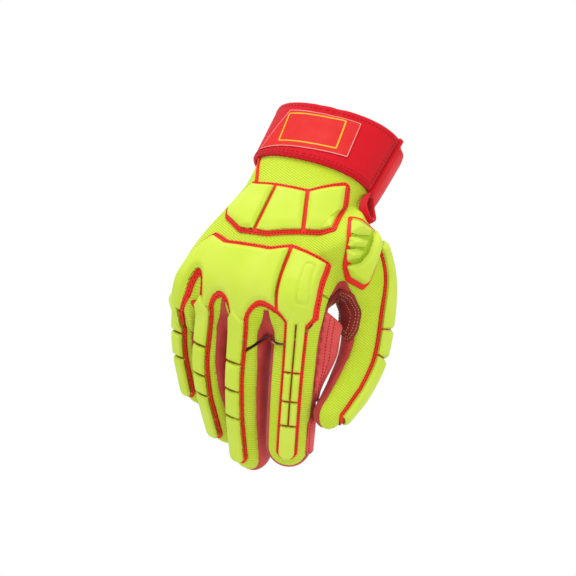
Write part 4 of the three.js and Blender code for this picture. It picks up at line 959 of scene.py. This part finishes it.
for f in FINGERS:
    chart = on_finger(f)
    half = f.strip_half
    edge = half + (2.8 if f is INDEX else TRIM)
    end = f.length - 11
    flange = [(12.5, -edge), (end - 3, -edge), (end + 1.1, -half / 2 - 1), (end + 1.1, half / 2 + 1),
              (end - 3, edge), (12.5, edge)]
    guard_base(f"{f.name}_strip_flange", flange, chart, f"{f.name}_strip_base", 1.5)
    joint = f.proximal + f.middle
    cuts = [f.proximal, joint] if f is PINKY else [f.proximal - 8, f.proximal + 8, joint]
    ends = [7.5, *cuts, end]
    for i, (a, b) in enumerate(zip(ends, ends[1:])):
        a, b = a + BLOCK_GAP, b - BLOCK_GAP
        name = f"{f.name}_strip_{i + 1}"
        ridge = -half * 0.35
        bevel = bevelled(STRIP_HIGH, 1.7, 1.1, () if f is INDEX else [((b, ridge), (a, ridge), -0.9, -0.42)])
        if i == len(ends) - 2:
            tip = [(a, -half), (b - 3, -half), (b, -half / 2), (b, half / 2), (b - 3, half), (a, half)]
            block(name, tip, chart, bevel, 1.4)
        elif f is INDEX:
            for part, x0, x1 in (("ulnar", -half, -0.55), ("radial", 0.55, half)):
                start = [(a, (x0 + x1) / 2), (a + 5, x1)] if i == 0 else [(a, x1)]
                stop = [(b, x1), (b, x0), (a + 5 if i == 0 else a, x0)]
                block(f"{name}_{part}", start + stop, chart, bevel, 0.8, 0.45)
        else:
            start = [(a + 6, -half), (a, -half * 0.1), (a + 6, half)] if i == 0 else [(a, -half), (a, half)]
            block(name, start + [(b, half), (b, -half)], chart, bevel, 0.8)

# Thumb strip
THUMB_BLOCK = 6.2  # half width
start, stop = 17.0, THUMB_LENGTH + 1
width = THUMB_BLOCK + TRIM
flange = [(start, -width / 2), (start + 2, -width), (stop - 2, -width), (stop, -width / 2), (stop, width / 2),
          (stop - 2, width), (start + 2, width), (start, width / 2)]
guard_base("thumb_strip_flange", flange, on_thumb, "thumb_strip_base", 1.2)
ends = [start + TRIM, 0.506 * THUMB_LENGTH, 0.638 * THUMB_LENGTH, stop - TRIM]
for i, (a, b) in enumerate(zip(ends, ends[1:])):
    a, b = a + BLOCK_GAP, b - BLOCK_GAP
    box = [(a, -THUMB_BLOCK), (b, -THUMB_BLOCK), (b, THUMB_BLOCK), (a, THUMB_BLOCK)]
    block(f"thumb_strip_{i + 1}", box, on_thumb, bevelled(STRIP_HIGH, 1.9, 1.0), 1.6)

# Thumb guard: flange, floor, an L-shaped wall and three ribs stacked beside it
GUARD_HIGH = BLOCK_LOW + 4.6
root = lambda rows: shares(rows, THUMB_REACH, KNUCKLE_DROP)
GUARD_FLANGE = root([(0.414, 0.55), (0.457, 0.651), (0.585, 0.777), (0.709, 0.815), (0.915, 0.815), (0.938, 0.775),
                     (0.879, 0.58), (0.76, 0.515)])
GUARD_FLOOR = root([(0.455, 0.56), (0.5, 0.655), (0.6, 0.755), (0.69, 0.75), (0.725, 0.795), (0.89, 0.795),
                    (0.92, 0.765), (0.87, 0.58), (0.76, 0.53)])
GUARD_WALL = root([(0.62, 0.766), (0.716, 0.727), (0.74, 0.673), (0.715, 0.583), (0.715, 0.545), (0.825, 0.579),
                   (0.853, 0.621), (0.882, 0.713), (0.905, 0.768), (0.883, 0.787), (0.716, 0.787)])
RIBS = (((0.465, 0.591), (0.5, 0.578), (0.664, 0.564), (0.672, 0.598), (0.496, 0.652)),
        ((0.497, 0.668), (0.55, 0.645), (0.681, 0.625), (0.686, 0.659), (0.521, 0.703)),
        ((0.53, 0.718), (0.6, 0.691), (0.698, 0.678), (0.69, 0.712), (0.592, 0.75)))
guard_base("thumb_guard_flange", GUARD_FLANGE, on_thumb_root, "thumb_guard_base", 1.5)
# The floor takes the darker moulded colour: painted shade between the ribs and the wall.
outline_piece("thumb_guard_floor", GUARD_FLOOR, on_thumb_root, BLOCK_FOOT, bevelled(BLOCK_LOW + 0.5, 0.7, 1.0),
              YELLOW_PAINTED_SHADE, "moulded", 0.8, 0.5)
outline_piece("thumb_guard_wall", GUARD_WALL, on_thumb_root, BLOCK_FOOT, bevelled(GUARD_HIGH, 2.4, 1.1), YELLOW,
              "moulded", 0.8, 0.4, ("thumb_guard_corner",))
for i, rib in enumerate(RIBS):
    block(f"thumb_guard_rib_{i + 1}", root(rib), on_thumb_root, bevelled(GUARD_HIGH + 0.6, 3.6, 1.05), 0.6, 0.35)

# Leather patches on the index finger's thumb side and in the thumb's crotch
PATCH_LOW = CLEARANCE + 0.3
PATCH_HIGH = CLEARANCE + 0.9
side_arc = lambda degrees: math.radians(degrees) * (INDEX.half_width + 3)


def patch(name, outline, chart, material, height, replaced, corner=4.0):
    """A patch, and the height of its top for the stitches on it."""
    shape = rounded(outline, corner)
    field = lambda p: inside_distance(shape, p)
    top = lambda p: height(p, np.maximum(field(p), 0))
    box = (shape.min(0) - 0.7, shape.max(0) + 0.7)
    relief(name, field, box, chart, 0.0, lambda p, d: top(p), material, "leather", 0.7, (replaced,))
    return top


def flap(p, d):
    """The upper patch stands off the finger towards the thumb."""
    rise = smooth((p[:, 0] - 4) / 12) * smooth((64 - p[:, 0]) / 34)
    out = 10.5 * rise * np.exp(-(((p[:, 1] - side_arc(106)) / side_arc(36)) ** 2))
    return lower_of(PATCH_HIGH + out, PATCH_LOW + 1.8 * d)


def flat_patch(p, d):
    return lower_of(PATCH_HIGH, PATCH_LOW + 0.9 * d)


def folded(p, d):
    wave = 0.45 * np.sin(p[:, 0] * 0.5 + p[:, 1] * 0.2)
    return lower_of(PATCH_HIGH + 0.7 + wave, PATCH_LOW + 0.9 * d)


def along_index(rows):
    return [(at * INDEX.length, side_arc(angle)) for at, angle in rows]


def along_thumb(rows):
    at, angle = np.array(rows, float).T
    s = at * THUMB_LENGTH
    strip = curve(THUMB_STRIP_LINE, at)[:, 0]
    return np.column_stack([s, np.radians(angle - strip) * (thumb_frame(s)[4] + 3)])


# Patch outlines: share of the length and degrees round from the back
UPPER_PATCH = along_index([(0.06, 76), (0.5, 60), (0.6, 84), (0.56, 126), (0.08, 130)])
LOWER_PATCH = along_index([(0.61, 88), (0.68, 48), (0.89, 50), (0.9, 100), (0.68, 118)])
CROTCH_PATCH = along_thumb([(0.24, 112), (0.3, 84), (0.42, 76), (0.54, 82), (0.62, 98), (0.56, 140), (0.36, 146)])
on_index = on_finger(INDEX)
upper_top = patch("index_patch_upper", UPPER_PATCH, on_index, PATCH_LEATHER, flap, "index_side_patch_upper")
lower_top = patch("index_patch_lower", LOWER_PATCH, on_index, PATCH_LEATHER, flat_patch, "index_side_patch_lower",
                  2.5)
crotch_top = patch("thumb_crotch_leather", CROTCH_PATCH, on_thumb, CROTCH_LEATHER_PAINTED_SHADE, folded, "thumb_crotch_patch")

# Cuff, in arc round the wrist and level
STRAP_LOW = CLEARANCE + 1 + CLEARANCE
STRAP_HIGH = STRAP_LOW + 2
FULL_TURN = 2 * math.pi * WRIST_ARC_RADIUS
STRAP_END = 46.0
STRAP_START = STRAP_END - 0.78 * FULL_TURN
BINDING_START = STRAP_END + CLEARANCE
BINDING_END = BINDING_START + 3


def band(name, low, high, foot, height, step, replaced):
    """Strap cloth between two corners."""
    field = lambda p: np.minimum(p - low, high - p).min(1)
    relief(name, field, (low, high), on_wrist, foot, height, STRAP_RED, "strap", step, (replaced,))


def roll(high, radius=1.0):
    """A rounded edge."""
    return lambda p, d: high - radius * (1 - np.sqrt(np.clip(1 - (1 - np.clip(d / radius, 0, 1)) ** 2, 0, 1)))


def level(high):
    return lambda p, d: np.full(len(p), high)


band("cuff_inner_band", (-FULL_TURN / 2, -CUFF_HEIGHT), (FULL_TURN / 2, 0), 0.0, roll(CLEARANCE + 1, 0.6), 1.2,
     "cuff_band")
band("cuff_strap_band", (STRAP_START, -CUFF_HEIGHT), (STRAP_END, 0), STRAP_LOW - 0.3, roll(STRAP_HIGH, 1.2), 0.9,
     "cuff_strap")
band("strap_end_roll", (BINDING_START, -CUFF_HEIGHT - 1), (BINDING_END, 1), STRAP_LOW,
     roll(STRAP_HIGH + 1.1, 1.5), 0.4, "strap_end_binding")

# Label: a bare plate with a light edge and a plain frame
LABEL = [(-18.4, -7), (18.4, -6), (20.7, -31), (-29, -37)]
LABEL_FRAME = [(-17.3, -10), (10.4, -8), (12.7, -28), (-15, -31)]


def label_ring(name, outline, inset, half_width, high, material):
    line = rounded(outline, 0.8)
    field = lambda p: half_width - np.abs(inside_distance(line, p) - inset)
    box = (line.min(0) - 1, line.max(0) + 1)
    relief(name, field, box, on_wrist, STRAP_HIGH + 0.3, level(high), material, "label", 0.3)


outline_piece("wrist_patch_plate", LABEL, on_wrist, STRAP_HIGH - 0.2, level(STRAP_HIGH + 0.5), LABEL_RED, "label",
              0.8, 0.7, ("wrist_patch",))
label_ring("wrist_patch_edge", LABEL, 0.45, 0.25, STRAP_HIGH + 0.58, LABEL_EDGE)
label_ring("wrist_patch_frame", LABEL_FRAME, 0.0, 0.45, STRAP_HIGH + 0.65, LABEL_LINE)

TAB_FROM = BINDING_END + CLEARANCE
TAB = [(0, -3), (8, -1.5), (15, -6), (17, -20), (13, -38), (7, -52), (2, -58), (0, -54)]
outline_piece("closure_tab_body", [(TAB_FROM + arc, z) for arc, z in TAB], on_wrist, STRAP_LOW - 0.4,
              bevelled(STRAP_LOW + 2.4, 1.4, 0.9), TAB_RED, "tab", 2.5, 0.6, ("closure_tab",))
BINDING_FOOT = -0.496 * KNUCKLE_DROP
SIDE_BINDING = [(-34.2, -CUFF_HEIGHT), (-31.8, -CUFF_HEIGHT), (-18.4, BINDING_FOOT), (-20.8, BINDING_FOOT)]
outline_piece("side_binding_strip", SIDE_BINDING, on_wrist, 0.0, roll(CLEARANCE + 1.2, 0.8), TRIM_RED, "trim",
              0.6, 0.4, ("side_binding",))

# Pull loop: a folded band swept along a teardrop, by arc, level as a share of the cuff, and height
LOOP = np.array([(-3.6, 1.05, 3.0), (-5.5, 1.22, 5.0), (-5.5, 1.36, 8.0), (-2.0, 1.48, 11.5), (1.6, 1.38, 10.5),
                 (1.8, 1.22, 6.5), (0.6, 1.05, 3.4)])
LOOP_HALF_WIDTH, LOOP_HALF_THICKNESS = 2.7, 1.15


def pull_loop():
    place, normal = on_wrist(np.column_stack([STRAP_END + 3 + LOOP[:, 0], -LOOP[:, 1] * CUFF_HEIGHT - 1.5]))
    rows = np.column_stack([np.arange(len(LOOP)), place + normal * LOOP[:, 2:]])
    t = np.linspace(0, len(LOOP) - 1, 60)
    line = curve(rows, t)
    along = unit(np.gradient(line, axis=0))
    flat_way = np.linalg.svd(line - line.mean(0))[2][2]
    out = unit(np.cross(along, flat_way))
    angle = np.linspace(0, 2 * np.pi, 20, endpoint=False)
    wide, thick = oval(angle, LOOP_HALF_WIDTH, LOOP_HALF_THICKNESS, LOOP_HALF_THICKNESS, 3.2)
    rings = line[:, None] + wide[None, :, None] * flat_way + thick[None, :, None] * out[:, None]
    n = len(angle)
    i = (np.arange(len(t) - 1)[:, None] * n + np.arange(n)).ravel()
    k = (np.arange(len(t) - 1)[:, None] * n + (np.arange(n) + 1) % n).ravel()
    walls = np.concatenate([np.stack([i, k, k + n], 1), np.stack([i, k + n, i + n], 1)])
    fan = np.array([(0, a, a + 1) for a in range(1, n - 1)])
    faces = np.concatenate([walls, fan[:, ::-1], fan + (len(t) - 1) * n])
    points = rings.reshape(-1, 3)
    corners = points[faces]
    if np.einsum("ij,ij->", corners[:, 0], np.cross(corners[:, 1], corners[:, 2])) < 0:
        faces = faces[:, ::-1]
    uv = np.column_stack([np.tile(angle * 2.2, len(t)), np.repeat(t * 6, n)])
    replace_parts(new_object("pull_loop_band", points, faces, STRAP_RED, "strap", uv), "pull_loop")


pull_loop()


# Stitching
def inset_line(outline, distance, corner=2.0):
    shape = rounded(outline, corner, 7)
    edge = np.roll(shape, -1, axis=0) - np.roll(shape, 1, axis=0)
    normal = unit(np.column_stack([-edge[:, 1], edge[:, 0]]))
    if inside_distance(shape, shape + 0.3 * normal).mean() < 0:
        normal = -normal
    return shape + distance * normal


def closed(line):
    return np.vstack([line, line[:1]])


ON_TRIM = BASE_TOP - 0.02
for name, outline in (("metacarpal", METACARPAL), ("knuckle", KNUCKLE)):
    stitches(f"{name}_trim_stitches", [closed(inset_line(outline, 1.05))], on_back, ON_TRIM, DARK_THREAD, "trim")
for f in FINGERS:
    half = f.strip_half + (1.5 if f is INDEX else 1.1)
    lines = [[(15, x), (f.length - 14, x)] for x in (-half, half)]
    stitches(f"{f.name}_trim_stitches", lines, on_finger(f), ON_TRIM, DARK_THREAD, "trim", radius=0.24)
thumb_lines = [[(20, x), (THUMB_LENGTH - 2, x)] for x in (-7.3, 7.3)]
edge_lines = [[(STRAP_START + 2, z), (STRAP_END - 2, z)] for z in (-3.4, -37, -38.6)]
end_lines = [[(STRAP_END - x, -3.4), (STRAP_END - x, -38)] for x in (2.0, 3.6)]
upper_lines = [inset_line(UPPER_PATCH, x, 4.0) for x in (1.5, 3.0)]
crotch_lines = [inset_line(CROTCH_PATCH, x, 4.0) for x in (1.4, 3.2, 6.5)]
stitches("strap_edge_stitches", edge_lines, on_wrist, STRAP_HIGH, STRAP_THREAD, "strap", 2.4, 1.5)
stitches("strap_end_stitches", end_lines, on_wrist, STRAP_HIGH, STRAP_THREAD, "strap", 2.4, 1.5)
stitches("index_patch_stitches", upper_lines, on_index, upper_top, DARK_THREAD, "leather")
stitches("index_lower_stitches", [inset_line(LOWER_PATCH, 1.5, 4.0)], on_index, lower_top, DARK_THREAD, "leather")
stitches("thumb_crotch_stitches", crotch_lines, on_thumb, crotch_top, LIGHT_THREAD, "leather", 2.3, 1.3)
stitches("thumb_trim_stitches", thumb_lines, on_thumb, ON_TRIM, DARK_THREAD, "trim", radius=0.24)

# Studio
STAGE = bpy.data.materials.new("stage")
STAGE.use_nodes = True
floor_shader = STAGE.node_tree.nodes["Principled BSDF"]
floor_shader.inputs["Base Color"].default_value = (0.85, 0.85, 0.85, 1)
floor_shader.inputs["Roughness"].default_value = 0.9
floor_mesh = bpy.data.meshes.new("floor")
floor_mesh.from_pydata([(-3, -3, -0.9), (3, -3, -0.9), (3, 3, -0.9), (-3, 3, -0.9)], [], [(0, 1, 2, 3)])
floor_mesh.materials.append(STAGE)
floor = bpy.data.objects.new("floor", floor_mesh)
bpy.context.scene.collection.objects.link(floor)
floor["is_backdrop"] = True

world = bpy.data.worlds.new("studio")
bpy.context.scene.world = world
world.use_nodes = True
world.node_tree.nodes["Background"].inputs["Color"].default_value = (1, 1, 1, 1)
world.node_tree.nodes["Background"].inputs["Strength"].default_value = 1.0


def light(name, place, size, power):
    data = bpy.data.lights.new(name, "AREA")
    data.size = size
    data.energy = power
    obj = bpy.data.objects.new(name, data)
    bpy.context.scene.collection.objects.link(obj)
    aim = np.array([0, 0, -0.1])
    back = unit(np.array(place) - aim)
    right = unit(np.cross([0, 0, 1.0], back))
    up = np.cross(back, right)
    obj.matrix_world = Matrix([[right[i], up[i], back[i], place[i]] for i in range(3)] + [[0, 0, 0, 1]])


light("key", (-0.5, -1.2, 0.9), 0.7, 13)
light("fill", (1.3, -0.8, 0.1), 1.0, 3)

# Camera at the photograph's place: turned about the view line, focal length in pixels of a 576 px frame
AZIMUTH, ELEVATION, ROLL = (math.radians(x) for x in (30, -22, 27))
DISTANCE, FOCAL, FRAME_PX = 1.2, 1960, 576
TARGET = np.array([-0.002, -0.001, -0.110])
CENTRE_PX = (265, 274)
back = np.array([math.sin(AZIMUTH) * math.cos(ELEVATION), -math.cos(AZIMUTH) * math.cos(ELEVATION),
                 math.sin(ELEVATION)])
right = np.array([math.cos(AZIMUTH), math.sin(AZIMUTH), 0])
up = np.cross(back, right)
right, up = math.cos(ROLL) * right + math.sin(ROLL) * up, math.cos(ROLL) * up - math.sin(ROLL) * right
place = TARGET + DISTANCE * back
camera_data = bpy.data.cameras.new("camera")
camera_data.sensor_width = 36
camera_data.lens = 36 * FOCAL / FRAME_PX
camera_data.shift_x = (FRAME_PX / 2 - CENTRE_PX[0]) / FRAME_PX
camera_data.shift_y = (CENTRE_PX[1] - FRAME_PX / 2) / FRAME_PX
camera = bpy.data.objects.new("camera", camera_data)
bpy.context.scene.collection.objects.link(camera)
camera.matrix_world = Matrix([[right[i], up[i], back[i], place[i]] for i in range(3)] + [[0, 0, 0, 1]])
bpy.context.scene.camera = camera
bpy.context.scene.view_settings.view_transform = "Standard"

as_list = lambda box: [[float(x) for x in corner] for corner in box]
{"cad": as_list(cad_box), "visual": as_list(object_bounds())}
